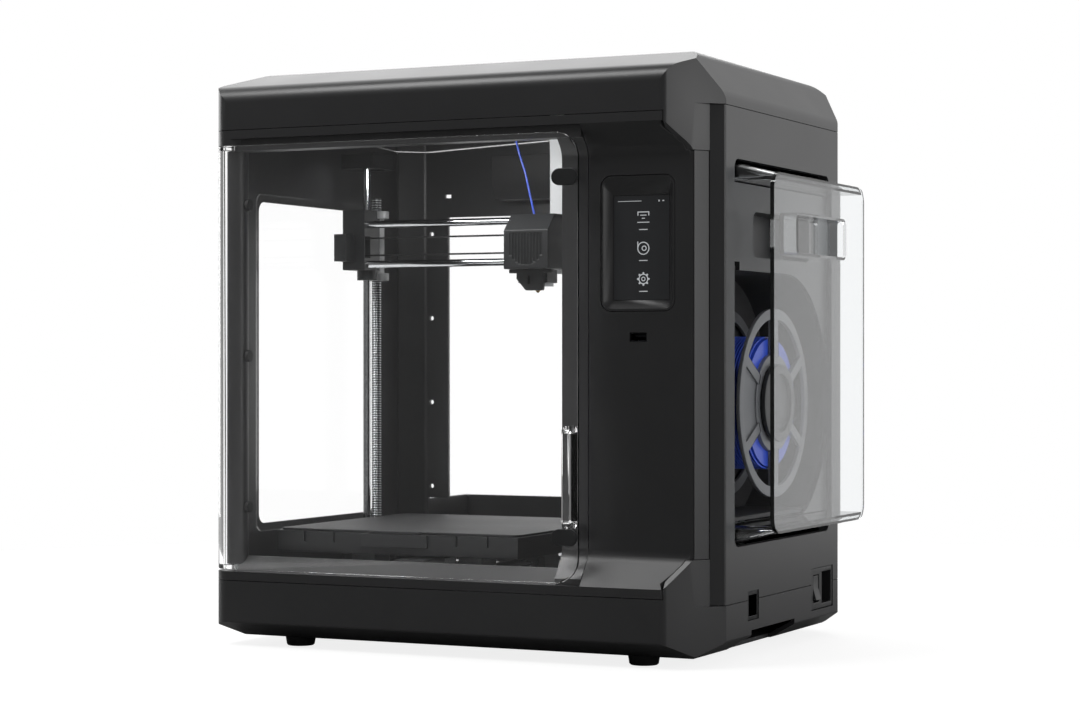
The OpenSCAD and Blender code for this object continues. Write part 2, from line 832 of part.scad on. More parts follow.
module z_rods() {
  color(steel) {
    bar_z(rod_d, tower_x, rod_y, tower_low, tower_high);
    bar_z(rod_d, right_rod_x, rod_y, tower_low, tower_high);
  }
}

module z_motor() {
  motor_top = tower_low - 1;
  motor_low = foot_h + bottom_rise + 3;
  floor_z = foot_h + wall + 0.2;
  color(dark) {
    span(about(tower_x, -16.5, motor_a - 16.5), about(screw_y, -16, motor_a - 16), [motor_low, motor_top]);
    span(about(tower_x, 3, motor_a - 16.5), about(screw_y, -16, motor_a - 16), [floor_z, motor_low + eps]);
  }
}

// Clamps that hold the ends of the upright rods
module rod_clamps() {
  color(dark) {
    for (z = [tower_low, tower_high - clamp_t])
      difference() {
        span([x_l + wall + 0.3, tower_x + 10.5], about(rod_y, -9, 28), [z, z + clamp_t]);
        bar_z(rod_d, tower_x, rod_y, 0, body_h);
        bar_z(screw_d + 8, tower_x, screw_y, 0, body_h);
      }
    for (z = [tower_low, tower_high - clamp_t])
      difference() {
        span([right_rod_x - 8, chamber_x - 0.3], about(rod_y, -9, 9), [z, z + clamp_t]);
        bar_z(rod_d, right_rod_x, rod_y, 0, body_h);
      }
  }
}

module y_rods() {
  color(steel)
    for (s = [-1, 1])
      bar_y(y_rod_d, bed_x + s * y_rod_gap / 2, y_rod_front, y_b + hood_d - 1, y_rod_z);
}

module y_motor() {
  motor_x = bed_x + belt_w / 2 + 6;
  color(dark) difference() {
    union() {
      span([motor_x, motor_x + y_motor_h], about(y_drive_y, -motor_a / 2, motor_a / 2),
        [foot_h + wall + 0.2, tray_low - 1.5]);
      bar_x(22, motor_x - 2, motor_x + 1, y_drive_y, belt_z);
    }
    bar_x(shaft_d + 2 * fit, motor_x - 5, motor_x + 12, y_drive_y, belt_z);
  }
}

// Closed belt round two pulleys, as a flat loop of the given half height
module belt_loop(a, b, r) {
  difference() {
    union() {
      translate([a, 0]) circle(r + belt_t);
      translate([b, 0]) circle(r + belt_t);
      translate([a, -r - belt_t]) square([b - a, 2 * (r + belt_t)]);
    }
    translate([a, 0]) circle(r);
    translate([b, 0]) circle(r);
    translate([a, -r]) square([b - a, 2 * r]);
  }
}

module y_belt() {
  color("#161617") translate([0, 0, belt_z])
    along_x(bed_x - belt_w / 2, bed_x + belt_w / 2) belt_loop(y_drive_y, y_idler_y, pulley_r + fit);
  color(steel) bar_x(2 * pulley_r - 0.2, bed_x - belt_w / 2, bed_x + belt_w / 2, y_idler_y, belt_z);
  // Bracket that carries the idler on the floor of the rear housing
  color(dark) difference() {
    union() {
      for (s = [-1, 1])
        span(about(bed_x + s * (belt_w / 2 + 3), -2, 2), about(y_idler_y, -6, 6),
          [rear_slot_low + wall + 0.1, belt_z + 6]);
    }
    span(about(bed_x, -belt_w / 2 - 0.4, belt_w / 2 + 0.4), about(y_idler_y, -20, 20), [0, far]);
  }
  color(steel) for (s = [-1, 1])
    bar_x(4, bed_x + (s < 0 ? -belt_w / 2 - 1 : belt_w / 2), bed_x + (s < 0 ? -belt_w / 2 : belt_w / 2 + 1),
      y_idler_y, belt_z);
}

// Hub that the spool turns on, with its cap
module spool_holder() {
  cap_d = holder_d + 4;
  color(dark) difference() {
    union() {
      bar_x(holder_d + 12, bay_floor_x + wall, spool_left - clear, spool_y, spool_z);
      bar_x(holder_d, bay_floor_x + wall, spool_right + clear, spool_y, spool_z);
      bar_x(cap_d, spool_right + clear, spool_right + 4, spool_y, spool_z);
    }
    bar_x(holder_d - 11, spool_right + 1.5, far, spool_y, spool_z);
  }
}

// Flange with a rim, spokes and a hub ring
module spool_flange(x0) {
  rim_w = 8;
  spoke_w = 8;
  translate([0, spool_y, spool_z]) along_x(x0, x0 + flange_w) {
    difference() {
      circle(spool_d / 2);
      circle(spool_d / 2 - rim_w);
    }
    for (k = [0 : 5])
      rotate(60 * k + 30) translate([hub_d / 2 - 2, -spoke_w / 2])
        square([spool_d / 2 - hub_d / 2 - rim_w / 2, spoke_w]);
  }
}

module spool() {
  color("#2c2d2f") difference() {
    union() {
      spool_flange(spool_left);
      spool_flange(spool_right - flange_w);
      bar_x(hub_d, spool_left + 0.2, spool_right - 0.2, spool_y, spool_z);
    }
    bar_x(holder_d + 2 * fit, 0, far, spool_y, spool_z);
  }
}

// Points of the helix, and a tube swept along them
function coil_point(k) = let (a = 360 * k / coil_steps)
  [coil_start + coil_pitch * k / coil_steps, spool_y + coil_r * cos(a), spool_z + coil_r * sin(a)];
coil_start = spool_left + (spool_w - coil_turns * coil_pitch) / 2;
coil_route = [for (k = [0 : coil_turns * coil_steps]) coil_point(k)];
coil_gap = min([
  for (k = [0 : len(coil_route) - 1 - coil_steps])
    norm(coil_route[k + coil_steps] - coil_route[k])
]) - filament_d;
echo(winding_least_gap = coil_gap);

function ring_points(k) = let (
    a = 360 * k / coil_steps,
    out = [0, cos(a), sin(a)]
  ) [
    for (j = [0 : coil_sides - 1])
      let (b = -360 * j / coil_sides)
      coil_route[k] + tube_r * (cos(b) * out + sin(b) * [1, 0, 0])
  ];

module swept_tube(rings, n) {
  last = (len(rings) - 1) * n;
  polyhedron(
    points = [for (r = rings) each r],
    faces = concat(
      [for (j = [1 : n - 2]) [0, j, j + 1]],
      [
        for (k = [0 : len(rings) - 2], j = [0 : n - 1], h = [0, 1])
          let (a = k * n + j, b = k * n + (j + 1) % n)
          h == 0 ? [a, a + n, b + n] : [a, b + n, b]
      ],
      [for (j = [1 : n - 2]) [last, last + j + 1, last + j]]
    )
  );
}

module filament_winding() {
  core_r = coil_r * cos(180 / coil_steps) - tube_r - 0.15;
  color(blue) {
    difference() {
      bar_x(2 * core_r, spool_left + flange_w + 0.3, spool_right - flange_w - 0.3, spool_y, spool_z);
      bar_x(hub_d, 0, far, spool_y, spool_z);
    }
    swept_tube([for (k = [0 : len(coil_route) - 1]) ring_points(k)], coil_sides);
  }
}

// Round heads along the panels and the fixings of the left window
module panel_screws() {
  color(dark) {
    for (z = [window_low + 8, (window_low + window_high + 3) / 2, window_high - 5])
      bar_x(9, pivot[0] + column_r + 0.1, pivot[0] + column_r + 3, pivot[1], z);
    for (x = [x_l + 60, 0, x_r - 60])
      bar_y(6, x, y_b + 0.1, y_b + 2, window_high + 33);
    for (s = [-1, 1], y = [y_f + 70, y_b - 70])
      bar_z(7, s * 110, y, foot_h - 2, foot_h - 0.1);
  }
}

module hinge_pins() {
  color(steel) {
    bar_z(pin_d, pivot[0], pivot[1], front_seam_low + 1, door_low + knuckle_h);
    bar_z(pin_d, pivot[0], pivot[1], door_high - knuckle_h, front_seam_high - 1);
  }
}

// Clear door: flat sheet that wraps round the left corner, with a knuckle at each end
module door_panel() {
  hole = pin_d + 2 * fit;
  color(clear_tint) {
    difference() {
      along_y(y_f, door_back) difference() {
        translate([pivot[0], door_low])
          square([panel_x - door_gap / 2 - pivot[0], door_high - door_low]);
        for (s = [0, 1])
          door_corner(s);
      }
    }
    difference() {
      union() {
        translate([pivot[0], pivot[1], door_low]) intersection() {
          difference() {
            cylinder(r = corner_r, h = door_high - door_low);
            translate([0, 0, -1]) cylinder(r = corner_r - clear_t, h = far);
          }
          translate([-far, -far, 0]) cube(far);
        }
        for (z = [door_low, door_high - knuckle_h]) {
          bar_z(2 * knuckle_r, pivot[0], pivot[1], z, z + knuckle_h);
          translate([pivot[0], pivot[1], z]) rotate([0, 0, 225]) translate([0, -3, 0])
            cube([corner_r - clear_t / 2, 6, knuckle_h]);
        }
      }
      bar_z(hole, pivot[0], pivot[1], 0, body_h);
    }
  }
}

// Corner that is cut away outside the round corner of the door
module door_corner(upper) {
  free_x = panel_x - door_gap / 2;
  z = upper == 1 ? door_high - door_corner_r : door_low + door_corner_r;
  difference() {
    translate([free_x - door_corner_r, upper == 1 ? z : door_low - 1])
      square([door_corner_r + 1, door_corner_r + 1]);
    translate([free_x - door_corner_r, z]) circle(door_corner_r);
  }
}

// Clear loop that stands off the front of the door
module door_handle() {
  grip_x = panel_x - door_gap / 2 - handle_w;
  color(clear_tint) along_x(grip_x, grip_x + handle_w) difference() {
    round_rect([y_f - handle_out, y_f], [handle_low, handle_high], 5);
    round_rect([y_f - handle_out + 3.5, y_f - 3], [handle_low + 3.5, handle_high - 3.5], 3);
  }
}

// Black oval catches through the free edge of the door
module door_catches() {
  color(dark)
    for (z = [door_low + 32.5, door_high - 32])
      translate([panel_x - door_gap / 2 - catch_w / 2, 0, z]) along_y(y_f - 2, y_f - 0.1) {
        square([catch_w - catch_h, catch_h], center = true);
        for (s = [-1, 1])
          translate([s * (catch_w - catch_h) / 2, 0]) circle(catch_h / 2);
      }
}

// Clear cover: face, two hollow runners that slide in the slots, and a cup for the fingers
module spool_cover() {
  face = [x_r + cover_out - clear_t, x_r + cover_out];
  y = recess_y + [cover_edge, -cover_edge];
  z = recess_z + [cover_drop, -cover_drop];
  cup_y = pocket_y - 4;
  cup_z = pocket_z + [3, -3];
  color(clear_tint) {
    difference() {
      union() {
        along_x(face[0], face[1]) round_rect(y, z, cover_corner_r);
        for (upper = [0, 1]) {
          difference() {
            runner(face[1] - cover_wall_l, face[0] + eps, y, z, upper, 0);
            runner(face[1] - cover_wall_l - 1, face[0] + 1, y, z, upper, runner_t);
          }
        }
        along_x(face[1] - cup_d - clear_t, face[0] + eps)
          round_rect([-cup_y - 2, cup_y + 2], cup_z + [-2, 2], pocket_r - 1);
      }
      along_x(face[1] - cup_d, far) round_rect([-cup_y, cup_y], cup_z, pocket_r - 3);
    }
  }
}

// One runner of the cover, which fills its slot at the root and narrows towards the face, drawn in by g
module runner(x0, x1, y, z, upper, g) {
  root = upper == 1 ? recess_z[1] - slot_h : recess_z[0];
  tip = upper == 1 ? [root + clear, z[1]] : [z[0], root + slot_h - clear];
  hull() {
    along_x(x0, x0 + 1)
      round_rect(y + [g, -g], about(root, clear + g, slot_h - clear - g), slot_r - clear - g);
    along_x(x1 - 1, x1) intersection() {
      round_rect(y + [g + tip_in, -g - tip_in], z + [g, -g], cover_corner_r - g);
      translate([y[0], tip[0] + g]) square([y[1] - y[0], tip[1] - tip[0] - 2 * g]);
    }
  }
}

// Left end of the gantry with its rod bush and the belt tensioner in front
module x_end_left() {
  color(dark) difference() {
    union() {
      span(block_x, block_y, [block_low, block_high]);
      bar_z(z_bush_d + 4, tower_x, rod_y, block_low - 8, block_low + 1);
      span([block_x[0], block_x[0] + 11], [block_y[0] - 14, block_y[0] + 1], about(x_belt_z, -12, 10));
      // Arm that carries the nut
      span([block_x[0], tower_x - screw_d / 2 - 1.5], [block_y[1] - 1, screw_y + 3], about(x_belt_z, -8, 8));
    }
    bar_z(z_bush_d, tower_x, rod_y, 0, body_h);
    for (z = [gantry_z, gantry_z - x_rod_gap])
      bar_x(rod_d, block_x[0] + 6, far, x_rod_y, z);
    // Slot for the belt and its idler
    span([x_idler_x - pulley_r - 3, far], about(x_belt_y, -belt_w / 2 - belt_play, belt_w / 2 + belt_play),
      about(x_belt_z, -pulley_r - 2.5, pulley_r + 2.5));
    bar_z(nut_d() + 0.1, tower_x, screw_y, 0, body_h);
    bar_z(2 * (flange_ear + flange_r) + 0.4, tower_x, screw_y, block_high - 2 * flange_t - 0.2, body_h);
  }
}

function nut_d() = screw_d + 5;

// Right end of the gantry, which carries the motor
module x_end_right() {
  color(dark) difference() {
    span(right_block_x, block_y, [block_low, block_high]);
    bar_z(z_bush_d, right_rod_x, rod_y, 0, body_h);
    for (z = [gantry_z, gantry_z - x_rod_gap])
      bar_x(rod_d, 0, right_block_x[0] + 14, x_rod_y, z);
    span([0, x_drive_x + pulley_r + 3], about(x_belt_y, -belt_w / 2 - belt_play, belt_w / 2 + belt_play),
      about(x_belt_z, -pulley_r - 2.5, pulley_r + 2.5));
    bar_y(shaft_d + 3, x_drive_x, -far, far, x_belt_z);
  }
}

// Bushes of the upright rods, and the nut with its two eared flanges
module z_bearings() {
  bush_z = [block_low - 8, block_high];
  color(steel)
    for (x = [tower_x, right_rod_x])
      difference() {
        bar_z(z_bush_d, x, rod_y, x == tower_x ? bush_z[0] : block_low, bush_z[1]);
        bar_z(rod_d + 2 * fit, x, rod_y, 0, body_h);
      }
  color(grey) difference() {
    union() {
      bar_z(nut_d(), tower_x, screw_y, block_low - 4, block_high - 2);
      for (z = [block_low - 8, block_high - 6])
        translate([tower_x, screw_y, z]) linear_extrude(2 * flange_t) {
          circle(nut_d() / 2);
          for (s = [-1, 1])
            rotate(-25) translate([s * flange_ear, 0]) circle(flange_r);
          rotate(-25) square([2 * flange_ear, 1.4 * flange_r], center = true);
        }
    }
    bar_z(screw_d + 2 * fit, tower_x, screw_y, 0, body_h);
    for (s = [-1, 1])
      translate([tower_x, screw_y, 0]) rotate(-25) translate([s * flange_ear, 0, 0])
        cylinder(d = 3, h = body_h);
  }
}

module x_rods() {
  color(steel)
    for (z = [gantry_z, gantry_z - x_rod_gap])
      bar_x(rod_d, block_x[0] + 6, right_block_x[0] + 14, x_rod_y, z);
}

module x_belt() {
  color("#161617") translate([0, 0, x_belt_z])
    along_y(x_belt_y - belt_w / 2, x_belt_y + belt_w / 2) belt_loop(x_idler_x, x_drive_x, pulley_r + fit);
  color(steel) bar_y(2 * pulley_r - 0.2, x_idler_x, x_belt_y - belt_w / 2, x_belt_y + belt_w / 2, x_belt_z);
  color(steel) for (s = [-1, 1])
    bar_y(4, x_idler_x, x_belt_y + (s < 0 ? -belt_w / 2 - belt_play : belt_w / 2),
      x_belt_y + (s < 0 ? -belt_w / 2 : belt_w / 2 + belt_play), x_belt_z);
}

// Motor behind the right end of the gantry
module x_motor() {
  face_y = block_y[1] + 0.1;
  color(dark) difference() {
    span(about(x_drive_x, -motor_a / 2, motor_a / 2) + [3, 3], [face_y, face_y + motor_h],
      about(x_belt_z, -motor_a / 2, motor_a / 2));
    bar_y(shaft_d + 2 * fit, x_drive_x, face_y - 1, face_y + 12, x_belt_z);
  }
}

// Toothed pulley on its shaft, along its own axis
module pulley(shaft_l) {
  rim_t = 0.6;
  cylinder(r = pulley_r, h = belt_w + 2 * clear, center = true);
  for (s = [-1, 1])
    translate([0, 0, s * (belt_w / 2 + clear)]) cylinder(r = pulley_r + 1.3, h = rim_t, center = true);
  cylinder(d = shaft_d, h = shaft_l);
}

module x_pulley() {
  color(grey) translate([x_drive_x, x_belt_y, x_belt_z]) rotate([-90, 0, 0])
    pulley(block_y[1] + 10 - x_belt_y);
}

module y_pulley() {
  color(grey) translate([bed_x, y_drive_y, belt_z]) rotate([0, 90, 0]) pulley(belt_w / 2 + 16);
}

// Block on the two rods that carries everything on the head
module head_carriage() {
  x = about(head_x, -head_w / 2 + 2, head_w / 2 - 2);
  color(dark) difference() {
    union() {
      span(x, about(x_rod_y, -8, 8), [head_low + 1, head_high]);
      // Block that the flat cable plugs into
      span(about(head_x, -9, 9), [x_rod_y + 7, ribbon_y - 0.05], [head_low + 1, head_low + 12]);
    }
    for (z = [gantry_z, gantry_z - x_rod_gap])
      bar_x(rod_d + 2 * fit, -far, far, x_rod_y, z);
    span([-far, far], about(x_belt_y, -belt_w / 2 - 0.5, belt_w / 2 + 0.5),
      about(x_belt_z, -pulley_r - belt_t - 0.6, pulley_r + belt_t + 0.6));
  }
}

// Cover of the head: sloped top, grille with upright slats in a half-round frame
module head_cover() {
  x = about(head_x, -head_w / 2, head_w / 2);
  back_y = x_rod_y - 8.5;
  slope = 13;
  grille_r = 15;
  grille_z = head_low + 17;
  // Boss that carries the fan
  color(charcoal) bar_y(6, head_x, head_front + 1.5, head_front + 3.3, grille_z);
  color(charcoal) difference() {
    along_x(x[0], x[1]) polygon([
      [head_front, head_low], [back_y, head_low], [back_y, head_high],
      [head_front + slope, head_high], [head_front, head_high - slope]
    ]);
    along_x(x[0] + 2, x[1] - 2) polygon([
      [head_front + 2, head_low - 1], [back_y + 1, head_low - 1], [back_y + 1, head_high - 2],
      [head_front + slope + 1, head_high - 2], [head_front + 2, head_high - slope - 1]
    ]);
    for (k = [-5 : 5])
      slat_gap(k * 2.6, grille_r, grille_z);
    bar_z(filament_d + 2, strand_low[0], strand_low[1], head_high - 5, far);
  }
}

// One gap of the grille, as tall as the half-round frame is there
module slat_gap(dx, r, z) {
  drop = sqrt(r * r - dx * dx);
  span(about(head_x + dx, -0.8, 0.8), about(head_front, -1, 1.2), [z - drop + 1, head_high - 15]);
}

// Finned heat break with the heater block under it
module hot_end() {
  color(grey) {
    for (k = [0 : 5])
      translate([head_x, nozzle_y, head_low + 4 + 3 * k]) cylinder(d = 18, h = 1.4);
    bar_z(7, head_x, nozzle_y, nozzle_z + 11, head_low + 24);
    span(about(head_x, -8, 8), about(nozzle_y, -6, 12), about(nozzle_z, 5, 15));
    // Foot that screws the heat break to the carriage
    span(about(head_x, -6, 6), about(nozzle_y, 8.5, 15.8), about(head_low, 6, 16));
  }
}

module nozzle() {
  color(brass) translate([head_x, nozzle_y, nozzle_z]) rotate_extrude()
    polygon([[0, 0], [0.6, 0], [3, 2.6], [3, 4.9], [0, 4.9]]);
}

// Air duct that wraps the heater block
module fan_duct() {
  low_z = nozzle_z + 1.5;
  color(charcoal) difference() {
    union() {
      along_y(nozzle_y - 14, nozzle_y - 9) polygon([
        [head_x - 12, head_low - 0.2], [head_x - 12, low_z + 9], [head_x - 4, low_z],
        [head_x + 10, low_z], [head_x + 12, head_low - 0.2]
      ]);
      for (s = [-1, 1])
        span(about(head_x + s * 11, -1.5, 1.5), about(nozzle_y, -9.5, 9), [low_z + 6, head_low - 0.2]);
      // Flange under the rim of the cover
      span(about(head_x, 0.5 - head_w / 2, head_w / 2 - 0.5), about(nozzle_y, -14, -9), [head_low - 3, head_low - 0.1]);
    }
    span(about(head_x, -2, -0.5), about(nozzle_y, -20, 0), [low_z + 5, low_z + 11]);
  }
}

// Feeder with its small motor, above the heat break
module feed_motor() {
  color("#3a3b3d") difference() {
    span(about(head_x, -14, 14), about(nozzle_y, -8, 15.8), [head_low + 25, head_high - 2.3]);
    bar_z(filament_d + 2, strand_low[0], strand_low[1], 0, far);
  }
}

// Small fan behind the grille
module cooling_fan() {
  color("#101011") translate([head_x, head_front + 3.6, head_low + 17]) rotate([-90, 0, 0]) {
    cylinder(r = 5, h = 5);
    for (k = [0 : 6])
      rotate(360 / 7 * k) rotate([0, 90, 0]) rotate([0, 0, 28]) translate([-2.4, -0.5, 3])
        cube([3.6, 1, fan_r - 5]);
  }
}

// Tray that carries the bed, with the grip in the middle of its front bar
module bed_carriage() {
  x = about(bed_x, -bed_w / 2, bed_w / 2);
  color(dark) difference() {
    union() {
      span(x, [bed_front, bed_back], [tray_low, tray_top]);
      span(about(bed_x, -28, 28), about(bed_front, -2.5, 1), [tray_low + 6, tray_top]);
      span(about(bed_x, -7, 7), [-20, 10], [belt_top() + 0.4, tray_low + 1]);
    }
    span(x + [tray_wall, -tray_wall], [bed_front + tray_wall, bed_back - tray_wall], [tray_low + tray_floor, far]);
    for (k = [-3, -2, 2, 3])
      span(about(bed_x + k * 26, -1, 1), about(bed_front, -1, 1.5), [tray_top - 8, tray_top + 1]);
  }
}

function belt_top() = belt_z + pulley_r + fit + belt_t;

// Heater plate on its four springs' seats
module heated_bed() {
  x = about(bed_x, -bed_w / 2 + tray_wall + 0.5, bed_w / 2 - tray_wall - 0.5);
  y = [bed_front + tray_wall + 0.5, bed_back - tray_wall - 0.5];
  low = tray_top - heater_t;
  color(grey) {
    span(x, y, [low, tray_top]);
    for (px = [x[0] + 8, x[1] - 8], py = [y[0] + 8, y[1] - 8])
      bar_z(8, px, py, tray_low + tray_floor, low);
  }
}

// Flexible plate with round corners and a pull tab
module build_plate() {
  color("#262628") translate([0, 0, tray_top + 0.1]) linear_extrude(plate_t) {
    round_rect(about(bed_x, -bed_w / 2 + 1, bed_w / 2 - 1), [bed_front + 2, bed_back - 1], 6);
    round_rect(about(bed_x, -22, 22), [bed_front - 2, bed_front + 10], 3);
  }
}

module bed_bearings() {
  color(grey)
    for (s = [-1, 1], y = [bed_front + 45, bed_back - 45])
      difference() {
        span(about(bed_x + s * y_rod_gap / 2, -10, 10), about(y, -bearing_l / 2, bearing_l / 2),
          [y_rod_z - y_rod_d / 2 - bearing_wall, tray_low - 0.05]);
        bar_y(y_rod_d + 2 * fit, bed_x + s * y_rod_gap / 2, -far, far, y_rod_z);
      }
}

// Screw with the coupler at its foot
module lead_screw() {
  coupler_d = 13;
  color(steel) {
    bar_z(screw_d, tower_x, screw_y, tower_low + 18, screw_top);
    bar_z(coupler_d, tower_x, screw_y, tower_low - 0.5, tower_low + 18.2);
  }
}

// Strand of filament from the guide to the head, in two stretches
module strand(p, q) {
  steps = 6;
  sides = 8;
  route = [for (k = [0 : steps]) let (t = k / steps) p + (q - p) * t];
  color(blue) swept_tube([
    for (k = [0 : steps])
      [for (j = [0 : sides - 1])
        let (b = 360 * j / sides)
        route[k] + tube_r * [cos(b), sin(b), 0]]
  ], sides);
}

module filament_upper() {
  strand(strand_mid + [0, 0, 0.2], strand_top);
}

module filament_lower() {
  strand(strand_low, strand_mid);
}

// Flat cable from the back of the head to the top cover, in two stretches
module ribbon_upper() {
  color(grey) span(about(ribbon_x, -ribbon_w / 2, ribbon_w / 2), about(ribbon_y, 0, ribbon_t), [ribbon_mid + 0.2, ribbon_high]);
}

module ribbon_lower() {
  color(grey) {
    span(about(ribbon_x, -ribbon_w / 2, ribbon_w / 2), about(ribbon_y, 0, ribbon_t), [ribbon_low, ribbon_mid]);
  }
}

module placed() {
  translate([frame_x, frame_y, 0]) children();
}

placed() base_tray();
placed() top_cover();
placed() front_frame();
placed() control_panel();
placed() right_side_panel();
placed() spool_bay();
placed() left_side_panel();
placed() left_window();
placed() rear_panel();
placed() rear_window();
placed() chamber_wall();
placed() feet();
placed() screen_bezel();
placed() touch_screen();
placed() data_ports();
placed() power_inlet();
placed() power_supply();
placed() mainboard();
placed() filter_box();
placed() filament_sensor();
placed() z_rods();
placed() z_motor();
placed() rod_clamps();
placed() y_rods();
placed() y_motor();
placed() y_belt();
placed() spool_holder();
placed() panel_screws();
placed() hinge_pins();
placed() door_panel();
placed() door_handle();
placed() door_catches();
placed() spool_cover();
placed() spool();
placed() filament_winding();
placed() x_end_left();
placed() x_end_right();
placed() z_bearings();
placed() x_rods();
placed() x_belt();
placed() x_motor();
placed() head_carriage();
placed() head_cover();
placed() hot_end();
placed() nozzle();
placed() fan_duct();
placed() feed_motor();
placed() bed_carriage();
placed() heated_bed();
placed() build_plate();
placed() bed_bearings();
placed() lead_screw();
placed() y_pulley();
placed() x_pulley();
placed() cooling_fan();
placed() rocker_switch();
placed() filament_upper();
placed() filament_lower();
placed() ribbon_upper();
placed() ribbon_lower();
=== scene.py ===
# %% [markdown]
# An enclosed desktop filament printer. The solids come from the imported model, and this script
# dresses them: finishes for every node, and new pieces for what is wound, soft or too fine for the solids.
# Sizes are in metres and the front faces -Y.

# %% load the frame
import bpy
import bmesh
import math
from mathutils import Matrix, Vector


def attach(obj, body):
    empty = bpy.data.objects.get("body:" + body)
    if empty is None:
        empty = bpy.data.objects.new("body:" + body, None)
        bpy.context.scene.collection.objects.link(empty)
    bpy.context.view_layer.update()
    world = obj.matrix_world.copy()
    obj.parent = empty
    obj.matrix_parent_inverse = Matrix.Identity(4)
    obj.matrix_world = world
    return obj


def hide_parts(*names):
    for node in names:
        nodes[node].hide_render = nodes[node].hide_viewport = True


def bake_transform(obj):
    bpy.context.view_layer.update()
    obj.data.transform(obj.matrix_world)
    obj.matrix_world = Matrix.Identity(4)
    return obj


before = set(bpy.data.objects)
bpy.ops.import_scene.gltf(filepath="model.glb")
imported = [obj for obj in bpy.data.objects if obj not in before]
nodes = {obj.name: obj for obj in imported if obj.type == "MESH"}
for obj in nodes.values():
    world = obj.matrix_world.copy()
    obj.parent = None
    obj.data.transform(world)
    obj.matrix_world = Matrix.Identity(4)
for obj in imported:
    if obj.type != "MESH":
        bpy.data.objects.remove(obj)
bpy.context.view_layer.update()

# %% [markdown]
# The source measures the printer from the middle of its shell, in millimetres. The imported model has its
# origin under the middle of the whole, so one small function turns the first into the second.

# %% place in the frame
SHIFT_X = -14.5
SHIFT_Y = -30.0


def at(x, y, z):
    return Vector(((x + SHIFT_X) / 1000, (y + SHIFT_Y) / 1000, z / 1000))


print("hinge of the door", at(-187, -138, 57.5))

# %% [markdown]
# The photograph was taken level with the middle of the printer, with a long lens, from about 26 degrees
# to the right of its front. A long lens keeps the upright edges upright, so the camera isn't tilted at all.

# %% camera
PHOTO_W = 1080
FOCAL_PIXELS = 2500
SENSOR_MM = 36
CAMERA_PLACE = (840.5, -1746, 215)
CAMERA_TURN = 25.7
camera_data = bpy.data.cameras.new("camera")
camera_data.sensor_fit = "HORIZONTAL"
camera_data.sensor_width = SENSOR_MM
camera_data.lens = SENSOR_MM * FOCAL_PIXELS / PHOTO_W
camera_data.clip_end = 50
camera = bpy.data.objects.new("camera", camera_data)
camera.location = at(*CAMERA_PLACE)
camera.rotation_euler = (math.radians(90), 0, math.radians(CAMERA_TURN))
bpy.context.scene.collection.objects.link(camera)
bpy.context.scene.camera = camera
print("camera", camera.location, "lens", round(camera_data.lens, 2))

# %% [markdown]
# Colours are written as the sRGB hex values that a picture shows, and shaders work in linear light, so one
# function turns the first into the second. One more function adds a shader node with its settings and links.

# %% colour and node helpers
def linear(code):
    channels = [int(code[i:i + 2], 16) / 255 for i in (1, 3, 5)]
    return tuple(c / 12.92 if c <= 0.04045 else ((c + 0.055) / 1.055) ** 2.4 for c in channels) + (1.0,)


def add(tree, kind, values=None, links=None, **settings):
    made = tree.nodes.new(kind)
    for name, value in settings.items():
        setattr(made, name, value)
    for name, value in (values or {}).items():
        made.inputs[name].default_value = value
    for name, socket in (links or {}).items():
        tree.links.new(socket, made.inputs[name])
    return made


def begin(name):
    material = bpy.data.materials.new(name)
    material.use_nodes = True
    tree = material.node_tree
    return material, tree, tree.nodes["Principled BSDF"]


print("charcoal in linear light", linear("#232323"))

# %% [markdown]
# The shell is moulded ABS with a fine spark-eroded grain. The grain breaks up the gloss, so edges catch a soft
# line of light and flat faces stay even. A noise of 1.3 mm drives a weak bump, which is coarser than the
# real 0.2 mm grain because that is finer than a pixel, and a slow noise, about 70 mm across, varies the gloss as
# handling does.

# %% moulded shell plastic
def grained_plastic(name, colour, pale, rough, spread, level, grain_mm=1.3, depth=0.00004):
    material, tree, shader = begin(name)
    where = add(tree, "ShaderNodeTexCoord")
    grain = add(tree, "ShaderNodeTexNoise", {"Scale": 1000 / grain_mm, "Detail": 2.0},
                {"Vector": where.outputs["Object"]})
    cloud = add(tree, "ShaderNodeTexNoise", {"Scale": 14.0, "Detail": 3.0}, {"Vector": where.outputs["Object"]})
    tone = add(tree, "ShaderNodeValToRGB", links={"Fac": cloud.outputs["Fac"]})
    tone.color_ramp.elements[0].position = 0.3
    tone.color_ramp.elements[0].color = linear(colour)
    tone.color_ramp.elements[1].position = 0.75
    tone.color_ramp.elements[1].color = linear(pale)
    gloss = add(tree, "ShaderNodeMapRange", {"To Min": rough - spread, "To Max": rough + spread},
                {"Value": cloud.outputs["Fac"]})
    bump = add(tree, "ShaderNodeBump", {"Strength": 0.12, "Distance": depth}, {"Height": grain.outputs["Fac"]})
    tree.links.new(tone.outputs["Color"], shader.inputs["Base Color"])
    tree.links.new(gloss.outputs["Result"], shader.inputs["Roughness"])
    tree.links.new(bump.outputs["Normal"], shader.inputs["Normal"])
    shader.inputs["IOR"].default_value = 1.53
    shader.inputs["Specular IOR Level"].default_value = level
    return material


